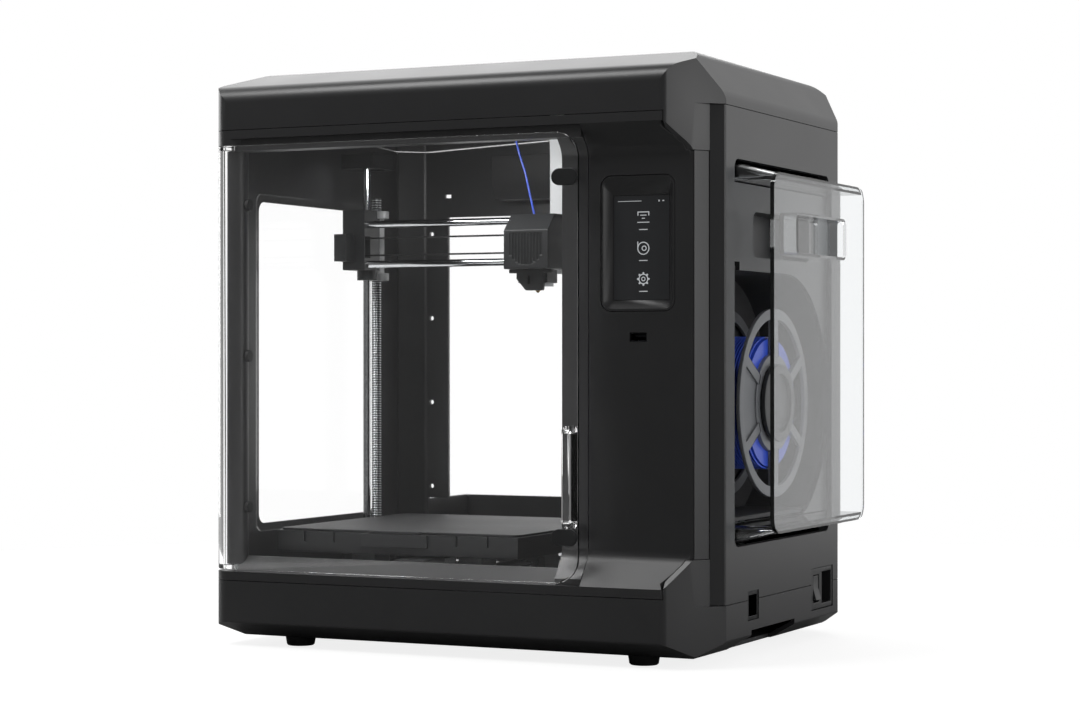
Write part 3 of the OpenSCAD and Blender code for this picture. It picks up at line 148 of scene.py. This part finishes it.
abs_shell = grained_plastic("moulded_abs_charcoal", "#272728", "#2c2c2d", 0.36, 0.04, 0.5)
abs_panel = grained_plastic("moulded_abs_panel", "#1f1f20", "#242425", 0.42, 0.05, 0.45)
# painted shade: the parts inside the chamber take a darker, rougher, less glossy copy of the shell plastic
abs_inside_shaded = grained_plastic("moulded_abs_inner_painted_shade", "#161617", "#1b1b1c", 0.5, 0.06, 0.35)
abs_bay = grained_plastic("moulded_abs_spool_bay", "#2b2b2c", "#313132", 0.55, 0.06, 0.35)
nylon_block = grained_plastic("moulded_nylon_black", "#1e1f20", "#252627", 0.4, 0.06, 0.45, 0.9)
spool_grey = grained_plastic("moulded_polystyrene_grey", "#5c5d60", "#67686b", 0.38, 0.05, 0.5, 1.0)
acetal_grey = grained_plastic("turned_acetal_grey", "#a5a6a7", "#b0b1b2", 0.42, 0.05, 0.5, 1.0)
print("plastics", abs_shell.name, abs_inside_shaded.name, spool_grey.name)

# %% [markdown]
# The door, the windows, the rear hood and the spool cover are clear acrylic, moulded and flame polished. Acrylic
# bends light at 1.49, so its thick edges show as bright and dark lines while its faces nearly vanish. A faint
# waviness of the moulded faces, about 110 mm long, is enough to break the reflections. The flat panes at the left and
# the back have a lower index, because the photograph shows no reflections in them.

# %% clear acrylic
def clear_acrylic(name, tint, level, index=1.49):
    material, tree, shader = begin(name)
    where = add(tree, "ShaderNodeTexCoord")
    wave = add(tree, "ShaderNodeTexNoise", {"Scale": 9.0, "Detail": 1.0}, {"Vector": where.outputs["Object"]})
    bump = add(tree, "ShaderNodeBump", {"Strength": 0.05, "Distance": 0.0004}, {"Height": wave.outputs["Fac"]})
    tree.links.new(bump.outputs["Normal"], shader.inputs["Normal"])
    shader.inputs["Base Color"].default_value = linear(tint)
    shader.inputs["Transmission Weight"].default_value = 1.0
    shader.inputs["Roughness"].default_value = 0.02
    shader.inputs["IOR"].default_value = index
    shader.inputs["Specular IOR Level"].default_value = level
    return material


acrylic = clear_acrylic("polished_acrylic_clear", "#ffffff", 0.25)
acrylic_pane = clear_acrylic("polished_acrylic_pane", "#ffffff", 0.1, 1.12)
acrylic_cover = clear_acrylic("polished_acrylic_cover", "#f2f4f5", 0.25)
print("acrylic", acrylic.name)

# %% [markdown]
# Metals: hard-chromed steel for the rods, zinc-plated steel for small stampings, satin aluminium for the bed, the
# heat sink and the pulleys, and turned brass for the nozzle. Each one is metallic with the default IOR, and a fine
# noise, stretched along the work, gives the marks of drawing, rolling or turning. They are 0.4 to 17 mm long, coarser
# than real ones, which would be finer than a pixel.

# %% metals
def worked_metal(name, colour, pale, rough, spread, stretch):
    material, tree, shader = begin(name)
    where = add(tree, "ShaderNodeTexCoord")
    along = add(tree, "ShaderNodeMapping", {"Scale": stretch}, {"Vector": where.outputs["Object"]})
    lines = add(tree, "ShaderNodeTexNoise", {"Scale": 1.0, "Detail": 3.0}, {"Vector": along.outputs["Vector"]})
    tone = add(tree, "ShaderNodeValToRGB", links={"Fac": lines.outputs["Fac"]})
    tone.color_ramp.elements[0].position = 0.25
    tone.color_ramp.elements[0].color = linear(colour)
    tone.color_ramp.elements[1].position = 0.75
    tone.color_ramp.elements[1].color = linear(pale)
    gloss = add(tree, "ShaderNodeMapRange", {"To Min": rough - spread, "To Max": rough + spread},
                {"Value": lines.outputs["Fac"]})
    tree.links.new(tone.outputs["Color"], shader.inputs["Base Color"])
    tree.links.new(gloss.outputs["Result"], shader.inputs["Roughness"])
    shader.inputs["Metallic"].default_value = 1.0
    return material


chrome_rod = worked_metal("hard_chromed_steel_rod", "#c6c8ca", "#d8dadc", 0.1, 0.03, (300, 300, 300))
plated_steel = worked_metal("zinc_plated_steel", "#a3a5a6", "#b9bbbc", 0.3, 0.06, (500, 500, 500))
satin_aluminium = worked_metal("satin_aluminium", "#a7a9ab", "#b7b9bb", 0.36, 0.05, (900, 60, 900))
black_nickel = worked_metal("black_nickel_plate", "#1d1e20", "#2b2c2e", 0.34, 0.06, (500, 500, 500))
turned_brass = worked_metal("turned_brass", "#b08a3c", "#c9a552", 0.28, 0.05, (200, 200, 2500))
print("metals", chrome_rod.name, satin_aluminium.name)

# %% [markdown]
# The lead screw is rolled steel with an 8 mm lead in four starts, so its threads stand 2 mm apart. A band pattern
# along Z, 2 mm to the turn, gives the grooves as bump and as painted shade: the roots are darker in colour, as if in
# the groove's shade. Blender's bands repeat about 3.18 times in one unit at a scale of 1.

# %% rolled screw thread
THREAD_PITCH = 0.002
BANDS_PER_UNIT = 3.183
screw_steel, tree, shader = begin("rolled_steel_thread")
where = add(tree, "ShaderNodeTexCoord")
thread = add(tree, "ShaderNodeTexWave", {"Scale": 1 / (THREAD_PITCH * BANDS_PER_UNIT), "Distortion": 0.0},
             {"Vector": where.outputs["Object"]}, wave_type="BANDS", bands_direction="Z", wave_profile="SIN")
# painted shade: the colour is darker in the thread roots, where the groove would be in shade
root_shade = add(tree, "ShaderNodeValToRGB", links={"Fac": thread.outputs["Fac"]})
root_shade.color_ramp.elements[0].color = linear("#4a4b4c")
root_shade.color_ramp.elements[1].color = linear("#c2c4c6")
groove = add(tree, "ShaderNodeBump", {"Strength": 0.8, "Distance": 0.0006}, {"Height": thread.outputs["Fac"]})
tree.links.new(root_shade.outputs["Color"], shader.inputs["Base Color"])
tree.links.new(groove.outputs["Normal"], shader.inputs["Normal"])
shader.inputs["Metallic"].default_value = 1.0
shader.inputs["Roughness"].default_value = 0.28
print("thread pitch", THREAD_PITCH)

# %% [markdown]
# Smaller finishes: nitrile rubber for the feet and belts, PLA for the filament with its silky drawn surface,
# the powder-coated steel of the build plate, fibreglass board, the dark glass of the screen and the flat cable's PVC.
# The glass has a smooth gloss that is broken by smears the size of a fingertip, about 17 mm.

# %% rubber, filament, plate, board, cable and glass
rubber = grained_plastic("moulded_nitrile_rubber", "#0b0b0c", "#121213", 0.7, 0.06, 0.3, 0.8)
cable_pvc = grained_plastic("extruded_pvc_cable", "#dcdedf", "#e6e8e9", 0.45, 0.05, 0.4, 1.2)
plate_grain = grained_plastic("powder_coated_plate", "#131315", "#1b1b1d", 0.55, 0.08, 0.45, 0.9, 0.0001)
board_green = grained_plastic("fibreglass_board", "#123d22", "#174a2a", 0.35, 0.05, 0.5, 1.5)
pla_blue = grained_plastic("drawn_pla_blue", "#2c48b6", "#3755c4", 0.33, 0.05, 0.5, 1.0)
screen_glass, tree, shader = begin("dark_display_glass")
where = add(tree, "ShaderNodeTexCoord")
smear = add(tree, "ShaderNodeTexNoise", {"Scale": 60.0, "Detail": 4.0}, {"Vector": where.outputs["Object"]})
film = add(tree, "ShaderNodeMapRange", {"To Min": 0.06, "To Max": 0.16}, {"Value": smear.outputs["Fac"]})
tree.links.new(film.outputs["Result"], shader.inputs["Roughness"])
shader.inputs["Base Color"].default_value = linear("#303133")
shader.inputs["IOR"].default_value = 1.5
print("finishes", len(bpy.data.materials))

# %% [markdown]
# The solids arrive as loose triangles with knife edges, and real mouldings have none. Modifiers leave the meshes
# alone: a weld joins the triangles, a narrow bevel rounds each edge, a small node group shades smoothly wherever
# two faces meet at a low angle, and weighted normals keep the wide flat faces flat beside their rounded edges.

# %% soft edges for the solids
def shade_by_angle(limit):
    group = bpy.data.node_groups.new("shade_by_angle", "GeometryNodeTree")
    group.interface.new_socket("Geometry", in_out="INPUT", socket_type="NodeSocketGeometry")
    group.interface.new_socket("Geometry", in_out="OUTPUT", socket_type="NodeSocketGeometry")
    start = group.nodes.new("NodeGroupInput")
    end = group.nodes.new("NodeGroupOutput")
    angle = group.nodes.new("GeometryNodeInputMeshEdgeAngle")
    low = add(group, "FunctionNodeCompare", {1: limit}, {0: angle.outputs["Unsigned Angle"]},
              data_type="FLOAT", operation="LESS_THAN")
    faces = add(group, "GeometryNodeSetShadeSmooth", None, {"Geometry": start.outputs[0]}, domain="FACE")
    edges = add(group, "GeometryNodeSetShadeSmooth", None,
                {"Geometry": faces.outputs["Geometry"], "Shade Smooth": low.outputs["Result"]}, domain="EDGE")
    group.links.new(edges.outputs["Geometry"], end.inputs[0])
    return group


SMOOTH_BELOW = 34
BEVEL_ABOVE = 40
WELD_WITHIN = 0.00001
smooth_group = shade_by_angle(math.radians(SMOOTH_BELOW))


def soften(piece, width, clamp):
    weld = piece.modifiers.new("weld", "WELD")
    weld.merge_threshold = WELD_WITHIN
    if width:
        edge = piece.modifiers.new("edge", "BEVEL")
        edge.width = width
        edge.segments = 2
        edge.limit_method = "ANGLE"
        edge.angle_limit = math.radians(BEVEL_ABOVE)
        edge.use_clamp_overlap = clamp
    shade = piece.modifiers.new("shade", "NODES")
    shade.node_group = smooth_group
    flat = piece.modifiers.new("flat", "WEIGHTED_NORMAL")
    flat.keep_sharp = True


print("smooth below", SMOOTH_BELOW, "degrees")

# %% [markdown]
# Each node takes the finish of its real part and an edge as wide as its moulding or machining would leave. The shell
# and the left end of the gantry have none, because a bevel would tear at their thin seams. Clear parts cast no
# shadow, because clear acrylic lets nine tenths of the light through. The spool cover's bevel is clamped, because its
# runners are made of narrow faces.

# %% finishes on the solids
finishes = [
    (abs_shell, 0, "base_tray top_cover front_frame right_side_panel left_side_panel rear_panel"),
    (abs_panel, 0, "control_panel screen_bezel"),
    (abs_bay, 0.0006, "spool_bay"),
    (abs_inside_shaded, 0.0006, "chamber_wall filter_box filament_sensor rod_clamps panel_screws"),
    (nylon_block, 0, "x_end_left"),
    (nylon_block, 0.0006, "x_end_right head_carriage head_cover fan_duct feed_motor "
     "spool_holder door_catches bed_carriage cooling_fan rocker_switch power_inlet z_motor y_motor x_motor"),
    (spool_grey, 0.0006, "spool"),
    (acrylic, 0.0008, "door_panel door_handle"),
    (acrylic_pane, 0.0008, "left_window rear_window"),
    (acrylic_cover, 0.0008, "spool_cover"),
    (rubber, 0.0003, "feet x_belt y_belt"),
    (chrome_rod, 0.0003, "z_rods x_rods y_rods"),
    (screw_steel, 0.0003, "lead_screw"),
    (plated_steel, 0.0003, "power_supply hinge_pins"),
    (black_nickel, 0.0002, "data_ports"),
    (satin_aluminium, 0.0004, "hot_end heated_bed bed_bearings x_pulley y_pulley"),
    (acetal_grey, 0.0004, "z_bearings"),
    (turned_brass, 0.0001, "nozzle"),
    (board_green, 0.0002, "mainboard"),
    (plate_grain, 0.0004, "build_plate"),
    (screen_glass, 0.0002, "touch_screen"),
]
dressed = 0
for material, width, names in finishes:
    for name in names.split():
        piece = nodes[name]
        piece.visible_shadow = material not in (acrylic, acrylic_pane, acrylic_cover)
        piece.data.materials.clear()
        piece.data.materials.append(material)
        soften(piece, width, material == acrylic_cover)
        dressed += 1
print("dressed", dressed, "of", len(nodes))

# %% [markdown]
# New pieces start as a bmesh, and this helper turns one into an object that rides on its body.

# %% from bmesh to piece
def finished(name, bm, material, body, smooth=True):
    bmesh.ops.remove_doubles(bm, verts=bm.verts, dist=0.000001)
    bmesh.ops.recalc_face_normals(bm, faces=bm.faces)
    mesh = bpy.data.meshes.new(name)
    bm.to_mesh(mesh)
    bm.free()
    for polygon in mesh.polygons:
        polygon.use_smooth = smooth
    mesh.materials.append(material)
    piece = bpy.data.objects.new(name, mesh)
    bpy.context.scene.collection.objects.link(piece)
    if body:
        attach(piece, body)
    return piece


# %% [markdown]
# The filament lies on the spool in even turns. A curve with a round bevel gives an unbroken strand: it follows a
# helix of the same pitch as the solid, with three times as many steps, over a core that shows between the turns.

# %% wound filament
SPOOL_Y, SPOOL_Z = 7.0, 183.055
SPOOL_LEFT, SPOOL_W = 151.0, 39.0
FLANGE_W = 3.0
WINDING_D = 99.0
STRAND_D = 1.75
TURN_GAP = 0.5
COIL_PITCH = STRAND_D + TURN_GAP
COIL_STEPS = 72
COIL_TURNS = math.floor((SPOOL_W - 2 * FLANGE_W - 2 * TURN_GAP - STRAND_D) / COIL_PITCH)
COIL_R = WINDING_D / 2 - STRAND_D / 2
coil_start = SPOOL_LEFT + (SPOOL_W - COIL_TURNS * COIL_PITCH) / 2
strand_data = bpy.data.curves.new("filament_turns", "CURVE")
strand_data.dimensions = "3D"
strand_data.bevel_depth = STRAND_D / 2000
strand_data.bevel_resolution = 2
strand_data.use_fill_caps = True
line = strand_data.splines.new("POLY")
steps = COIL_TURNS * COIL_STEPS
line.points.add(steps)
for k in range(steps + 1):
    a = 2 * math.pi * k / COIL_STEPS
    p = at(coil_start + COIL_PITCH * k / COIL_STEPS, SPOOL_Y + COIL_R * math.cos(a), SPOOL_Z + COIL_R * math.sin(a))
    line.points[k].co = (*p, 1)
strand_data.materials.append(pla_blue)
turns = bpy.data.objects.new("filament_turns", strand_data)
bpy.context.scene.collection.objects.link(turns)
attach(turns, "spool")
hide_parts("filament_winding")
print("turns", COIL_TURNS)

# %% [markdown]
# Under the turns lies the rest of the filament, of which only thin lines show. A plain drum is enough for it: a circle
# is extruded along its axis, its two ends are closed, and it is turned to lie along the axle.

# %% core under the turns
CORE_UNDER, CORE_GAP = 1.1, 0.3
core_w = SPOOL_W - 2 * (FLANGE_W + CORE_GAP)
bm = bmesh.new()
bmesh.ops.create_circle(bm, segments=96, radius=(COIL_R - CORE_UNDER) / 1000)
side = bmesh.ops.extrude_edge_only(bm, edges=bm.edges[:])["geom"]
bmesh.ops.translate(bm, verts=[v for v in side if isinstance(v, bmesh.types.BMVert)], vec=(0, 0, core_w / 1000))
bmesh.ops.holes_fill(bm, edges=[e for e in bm.edges if e.is_boundary])
bmesh.ops.rotate(bm, verts=bm.verts, matrix=Matrix.Rotation(math.radians(90), 3, "Y"))
bmesh.ops.translate(bm, verts=bm.verts, vec=at(SPOOL_LEFT + FLANGE_W + CORE_GAP, SPOOL_Y, SPOOL_Z))
core = finished("filament_core", bm, pla_blue, "spool", smooth=False)
print("core", len(core.data.polygons))

# %% [markdown]
# One of the six windows in the spool's outer flange is closed by a plain plate. A boolean cut from a disc would do,
# but a segment of a ring that is spun from a short strip has clean edges, which follow the hub and the rim.

# %% closed window of the spool
WINDOW_R = (35.0, 63.0)
PLATE_DEPTH, PLATE_T = 1.4, 1.2
WINDOW_X = SPOOL_LEFT + SPOOL_W - PLATE_DEPTH
WINDOW_START, WINDOW_SPAN = math.radians(63), math.radians(54)
axle = at(0, SPOOL_Y, SPOOL_Z)
bm = bmesh.new()
low, high = (bm.verts.new(at(WINDOW_X, SPOOL_Y, SPOOL_Z + r)) for r in WINDOW_R)
strip = bm.edges.new((low, high))
bmesh.ops.rotate(bm, verts=bm.verts, cent=axle, matrix=Matrix.Rotation(WINDOW_START, 3, "X"))
bmesh.ops.spin(bm, geom=[low, high, strip], cent=axle, axis=(1, 0, 0), angle=WINDOW_SPAN, steps=18)
bmesh.ops.solidify(bm, geom=bm.faces[:], thickness=PLATE_T / 1000)
plate = finished("spool_window_plate", bm, spool_grey, "spool", smooth=False)
print("closed window", len(plate.data.polygons))

# %% [markdown]
# The strand that feeds the head and the flat cable behind it hang between the top cover and the moving head. Each
# is two straight stretches: the upper one runs between the frame and the gantry, the lower one between gantry and
# head.

# %% feeding strand
def tube(name, points, diameter, material):
    data = bpy.data.curves.new(name, "CURVE")
    data.dimensions = "3D"
    data.bevel_depth = diameter / 2
    data.bevel_resolution = 2
    data.use_fill_caps = True
    path = data.splines.new("POLY")
    path.points.add(len(points) - 1)
    for k, p in enumerate(points):
        path.points[k].co = (*p, 1)
    draft = bpy.data.objects.new(name + "_draft", data)
    bpy.context.scene.collection.objects.link(draft)
    bpy.context.view_layer.update()
    mesh = bpy.data.meshes.new_from_object(draft.evaluated_get(bpy.context.evaluated_depsgraph_get()))
    bpy.data.objects.remove(draft)
    mesh.name = name
    for polygon in mesh.polygons:
        polygon.use_smooth = True
    mesh.materials.append(material)
    piece = bpy.data.objects.new(name, mesh)
    bpy.context.scene.collection.objects.link(piece)
    return piece


def between(a, b, count):
    return [a.lerp(b, k / count) for k in range(count + 1)]


STRAND_STEPS = 16
strand_top, strand_mid, strand_low = at(-30, 12, 396.3), at(-18, 12, 362), at(-10, 12, 328)
upper = tube("strand_upper", between(strand_mid, strand_top, STRAND_STEPS), STRAND_D / 1000, pla_blue)
lower = tube("strand_lower", between(strand_low, strand_mid, STRAND_STEPS), STRAND_D / 1000, pla_blue)
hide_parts("filament_upper")
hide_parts("filament_lower")
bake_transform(upper)
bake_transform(lower)
print("strand", round((strand_top - strand_low).length, 3))

# %% [markdown]
# The flat cable is a row of wires side by side in one soft jacket, so its faces are ribbed. A plain box would look
# like a strip of card. A grid with small waves across its width, which then gets a thickness, has the ribs.

# %% flat cable
CABLE_W, CABLE_T = 0.012, 0.0008
WIRE_PITCH, WIRE_RISE = 0.0015, 0.00012


def flat_cable(name, low, high):
    bm = bmesh.new()
    bmesh.ops.create_grid(bm, x_segments=8, y_segments=14, size=0.5)
    bmesh.ops.scale(bm, verts=bm.verts, vec=(CABLE_W, high.z - low.z, 1))
    bmesh.ops.rotate(bm, verts=bm.verts, matrix=Matrix.Rotation(math.radians(90), 3, "X"))
    bmesh.ops.translate(bm, verts=bm.verts, vec=(low + high) / 2)
    for v in bm.verts:
        v.co.y += WIRE_RISE * math.cos((v.co.x - low.x) / WIRE_PITCH * 2 * math.pi)
    bmesh.ops.recalc_face_normals(bm, faces=bm.faces)
    bmesh.ops.solidify(bm, geom=bm.faces[:], thickness=CABLE_T)
    return finished(name, bm, cable_pvc, None)


cable_top, cable_mid, cable_low = at(-11, 55.5, 428.8), at(-11, 55.5, 362), at(-11, 55.5, 283.5)
cable_upper = flat_cable("flat_cable_upper", cable_mid, cable_top)
cable_lower = flat_cable("flat_cable_lower", cable_low, cable_mid)
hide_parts("ribbon_upper")
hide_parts("ribbon_lower")
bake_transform(cable_upper)
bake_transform(cable_lower)
print("cable", round(cable_top.z - cable_low.z, 3))

# %% [markdown]
# The screen shows three plain symbols with a bar under each. They are thin shapes just in front of the glass, with
# a little light of their own, as a display has. Its dots are drawn 0.7 mm wide, coarser than real ones, so that they
# show at all.

# %% symbols on the screen
lit, tree, shader = begin("lit_display_mark")
where = add(tree, "ShaderNodeTexCoord")
dots = add(tree, "ShaderNodeTexNoise", {"Scale": 1500.0}, {"Vector": where.outputs["Object"]})
level = add(tree, "ShaderNodeMapRange", {"To Min": 0.3, "To Max": 0.42}, {"Value": dots.outputs["Fac"]})
tree.links.new(level.outputs["Result"], shader.inputs["Emission Strength"])
shader.inputs["Base Color"].default_value = linear("#a9acaf")
shader.inputs["Emission Color"].default_value = linear("#d9dcdf")
shader.inputs["Roughness"].default_value = 0.4
GLASS_Y = -130.15
MARK_T = 0.00008
marks = bmesh.new()


def mark_bar(x0, x1, z0, z1):
    made = bmesh.ops.create_grid(marks, x_segments=1, y_segments=1, size=0.5)["verts"]
    bmesh.ops.scale(marks, verts=made, vec=((x1 - x0) / 1000, (z1 - z0) / 1000, 1))
    bmesh.ops.rotate(marks, verts=made, matrix=Matrix.Rotation(math.radians(90), 3, "X"))
    bmesh.ops.translate(marks, verts=made, vec=at((x0 + x1) / 2, GLASS_Y, (z0 + z1) / 2))


def mark_ring(x, z, outer, inner, segments=40):
    rim = bmesh.ops.create_circle(marks, segments=segments, radius=outer / 1000)["verts"]
    wide = list({e for v in rim for e in v.link_edges})
    narrow = bmesh.ops.extrude_edge_only(marks, edges=wide)["geom"]
    inside = [v for v in narrow if isinstance(v, bmesh.types.BMVert)]
    bmesh.ops.scale(marks, verts=inside, vec=(inner / outer, inner / outer, 1))
    made = rim + inside
    bmesh.ops.rotate(marks, verts=made, matrix=Matrix.Rotation(math.radians(90), 3, "X"))
    bmesh.ops.translate(marks, verts=made, vec=at(x, GLASS_Y, z))


MARK_X = 143.5
COIL_MARK_Z, GEAR_MARK_Z = 293.6, 272.0
mark_bar(124, 142, 326.7, 327.1)
mark_bar(155, 156, 326.2, 327.4)
mark_bar(158, 159.4, 326.4, 327.2)
for z in (306.5, 284.7, 263.0):
    mark_bar(MARK_X - 3.2, MARK_X + 3.2, z, z + 0.6)
mark_bar(MARK_X - 4.5, MARK_X + 4.5, 318.8, 319.5)
mark_bar(MARK_X - 4.5, MARK_X - 3.8, 316.6, 319.5)
mark_bar(MARK_X + 3.8, MARK_X + 4.5, 316.6, 319.5)
mark_bar(MARK_X - 2.4, MARK_X + 2.4, 316.6, 317.2)
mark_bar(MARK_X - 1.2, MARK_X + 1.2, 314.4, 315.0)
mark_bar(MARK_X - 4.6, MARK_X + 4.6, 311.6, 312.2)
mark_ring(MARK_X, COIL_MARK_Z, 4.6, 3.9)
mark_ring(MARK_X + 0.6, COIL_MARK_Z, 1.9, 1.2)
mark_bar(MARK_X - 4.6, MARK_X - 3.9, COIL_MARK_Z, COIL_MARK_Z + 4.8)
mark_ring(MARK_X, GEAR_MARK_Z, 3.7, 3.0)
mark_ring(MARK_X, GEAR_MARK_Z, 1.6, 1.0)
for k in range(8):
    a = k * math.pi / 4
    mark_ring(MARK_X + 4.1 * math.cos(a), GEAR_MARK_Z + 4.1 * math.sin(a), 0.75, 0.05, 12)
bmesh.ops.solidify(marks, geom=marks.faces[:], thickness=MARK_T)
symbols = finished("display_symbols", marks, lit, "chassis", smooth=False)
print("symbols", len(symbols.data.polygons))

# %% [markdown]
# The floor is matt grey paper with a lift that only the camera sees, directly or through clear parts. So it looks
# white, keeps the object's shadow, and throws little light back on the object.

# %% floor
FLOOR_R = 1.05
FLOOR_LIFT = 0.84
floor_bm = bmesh.new()
bmesh.ops.create_circle(floor_bm, cap_ends=True, segments=64, radius=FLOOR_R)
floor_mesh = bpy.data.meshes.new("floor")
floor_bm.to_mesh(floor_mesh)
floor_bm.free()
floor = bpy.data.objects.new("floor", floor_mesh)
bpy.context.scene.collection.objects.link(floor)
paper, tree, shader = begin("matt_white_paper")
ray = add(tree, "ShaderNodeLightPath")
plain = add(tree, "ShaderNodeMath", links={0: ray.outputs["Is Camera Ray"], 1: ray.outputs["Is Transmission Ray"]},
            operation="MAXIMUM")
lift = add(tree, "ShaderNodeMath", {1: FLOOR_LIFT}, {0: plain.outputs[0]}, operation="MULTIPLY")
tree.links.new(lift.outputs[0], shader.inputs["Emission Strength"])
shader.inputs["Emission Color"].default_value = (1, 1, 1, 1)
shader.inputs["Base Color"].default_value = linear("#8c8c8c")
shader.inputs["Roughness"].default_value = 0.9
shader.inputs["Specular IOR Level"].default_value = 0.0
floor.data.materials.append(paper)
print("floor", floor.name)

# %% [markdown]
# The world is white where the camera sees it, directly or through clear parts. As light it is bright behind the
# object and dim in front of it, as in a studio, so the front stays dark and the side and the edges catch the light.
# Through clear parts it is a little stronger, which makes up for what their faces turn away.

# %% world
BEHIND = (0.43, 0.9, 0.0)
FRONT_LEVEL, BACK_LEVEL = 0.18, 0.88
THROUGH_PANES = 1.08
world = bpy.data.worlds.new("studio")
world.use_nodes = True
bpy.context.scene.world = world
sky = world.node_tree
sky.nodes.clear()
ray = add(sky, "ShaderNodeLightPath")
through = add(sky, "ShaderNodeMath", {1: THROUGH_PANES}, {0: ray.outputs["Is Transmission Ray"]},
              operation="MULTIPLY")
seen = add(sky, "ShaderNodeMath", links={0: ray.outputs["Is Camera Ray"], 1: through.outputs[0]}, operation="MAXIMUM")
where = add(sky, "ShaderNodeTexCoord")
toward = add(sky, "ShaderNodeVectorMath", {1: BEHIND}, {0: where.outputs["Generated"]},
             operation="DOT_PRODUCT")
depth = add(sky, "ShaderNodeMapRange",
            {"From Min": -0.35, "From Max": 1.0, "To Min": FRONT_LEVEL, "To Max": BACK_LEVEL},
            {"Value": toward.outputs["Value"]})
bounced = add(sky, "ShaderNodeMath", links={0: ray.outputs["Diffuse Depth"], 1: ray.outputs["Glossy Depth"]},
              operation="ADD")
first = add(sky, "ShaderNodeMath", {1: 0.5}, {0: bounced.outputs[0]}, operation="LESS_THAN")
plain = add(sky, "ShaderNodeMath", links={0: seen.outputs[0], 1: first.outputs[0]}, operation="MULTIPLY")
bright = add(sky, "ShaderNodeMath", links={0: depth.outputs["Result"], 1: plain.outputs[0]}, operation="MAXIMUM")
glow = add(sky, "ShaderNodeBackground", {"Color": (1, 1, 1, 1)}, {"Strength": bright.outputs[0]})
add(sky, "ShaderNodeOutputWorld", links={"Surface": glow.outputs[0]})
print("world", world.name)

# %% [markdown]
# Five soft boxes: one at the right for the side, a large one above and behind for the top, one high at the left
# front for the face, a strip under the chamber's ceiling, and one outside the left window. The last two are hidden
# from the camera.

# %% lamps
def lamp(name, place, aim, size, power):
    data = bpy.data.lights.new(name, "AREA")
    data.shape = "RECTANGLE"
    data.size, data.size_y = size
    data.energy = power
    made = bpy.data.objects.new(name, data)
    made.location = place
    made.rotation_euler = (Vector(aim) - Vector(place)).to_track_quat("-Z", "Y").to_euler()
    bpy.context.scene.collection.objects.link(made)
    return made


lamp("side_box", (1.65, -0.48, 0.5), (0.15, -0.02, 0.22), (1.0, 0.9), 6.5)
lamp("top_box", (-0.7, 0.95, 1.4), (0, 0, 0.4), (1.6, 1.2), 13)
lamp("key_box", (-0.75, -0.95, 1.75), (0, -0.15, 0.4), (0.9, 0.6), 17)
for hidden in (lamp("chamber_strip", at(-40, -60, 374), at(-20, 20, 250), (0.2, 0.03), 0.25),
               lamp("window_box", (-1.5, 0.35, 0.45), (-0.19, 0.02, 0.25), (0.9, 0.9), 7)):
    hidden.visible_camera = False
    hidden.visible_transmission = False
print("lamps", len(bpy.data.lights))

# %% [markdown]
# Colours are shown as they are, without a film curve.

# %% view
bpy.context.scene.view_settings.view_transform = "Standard"
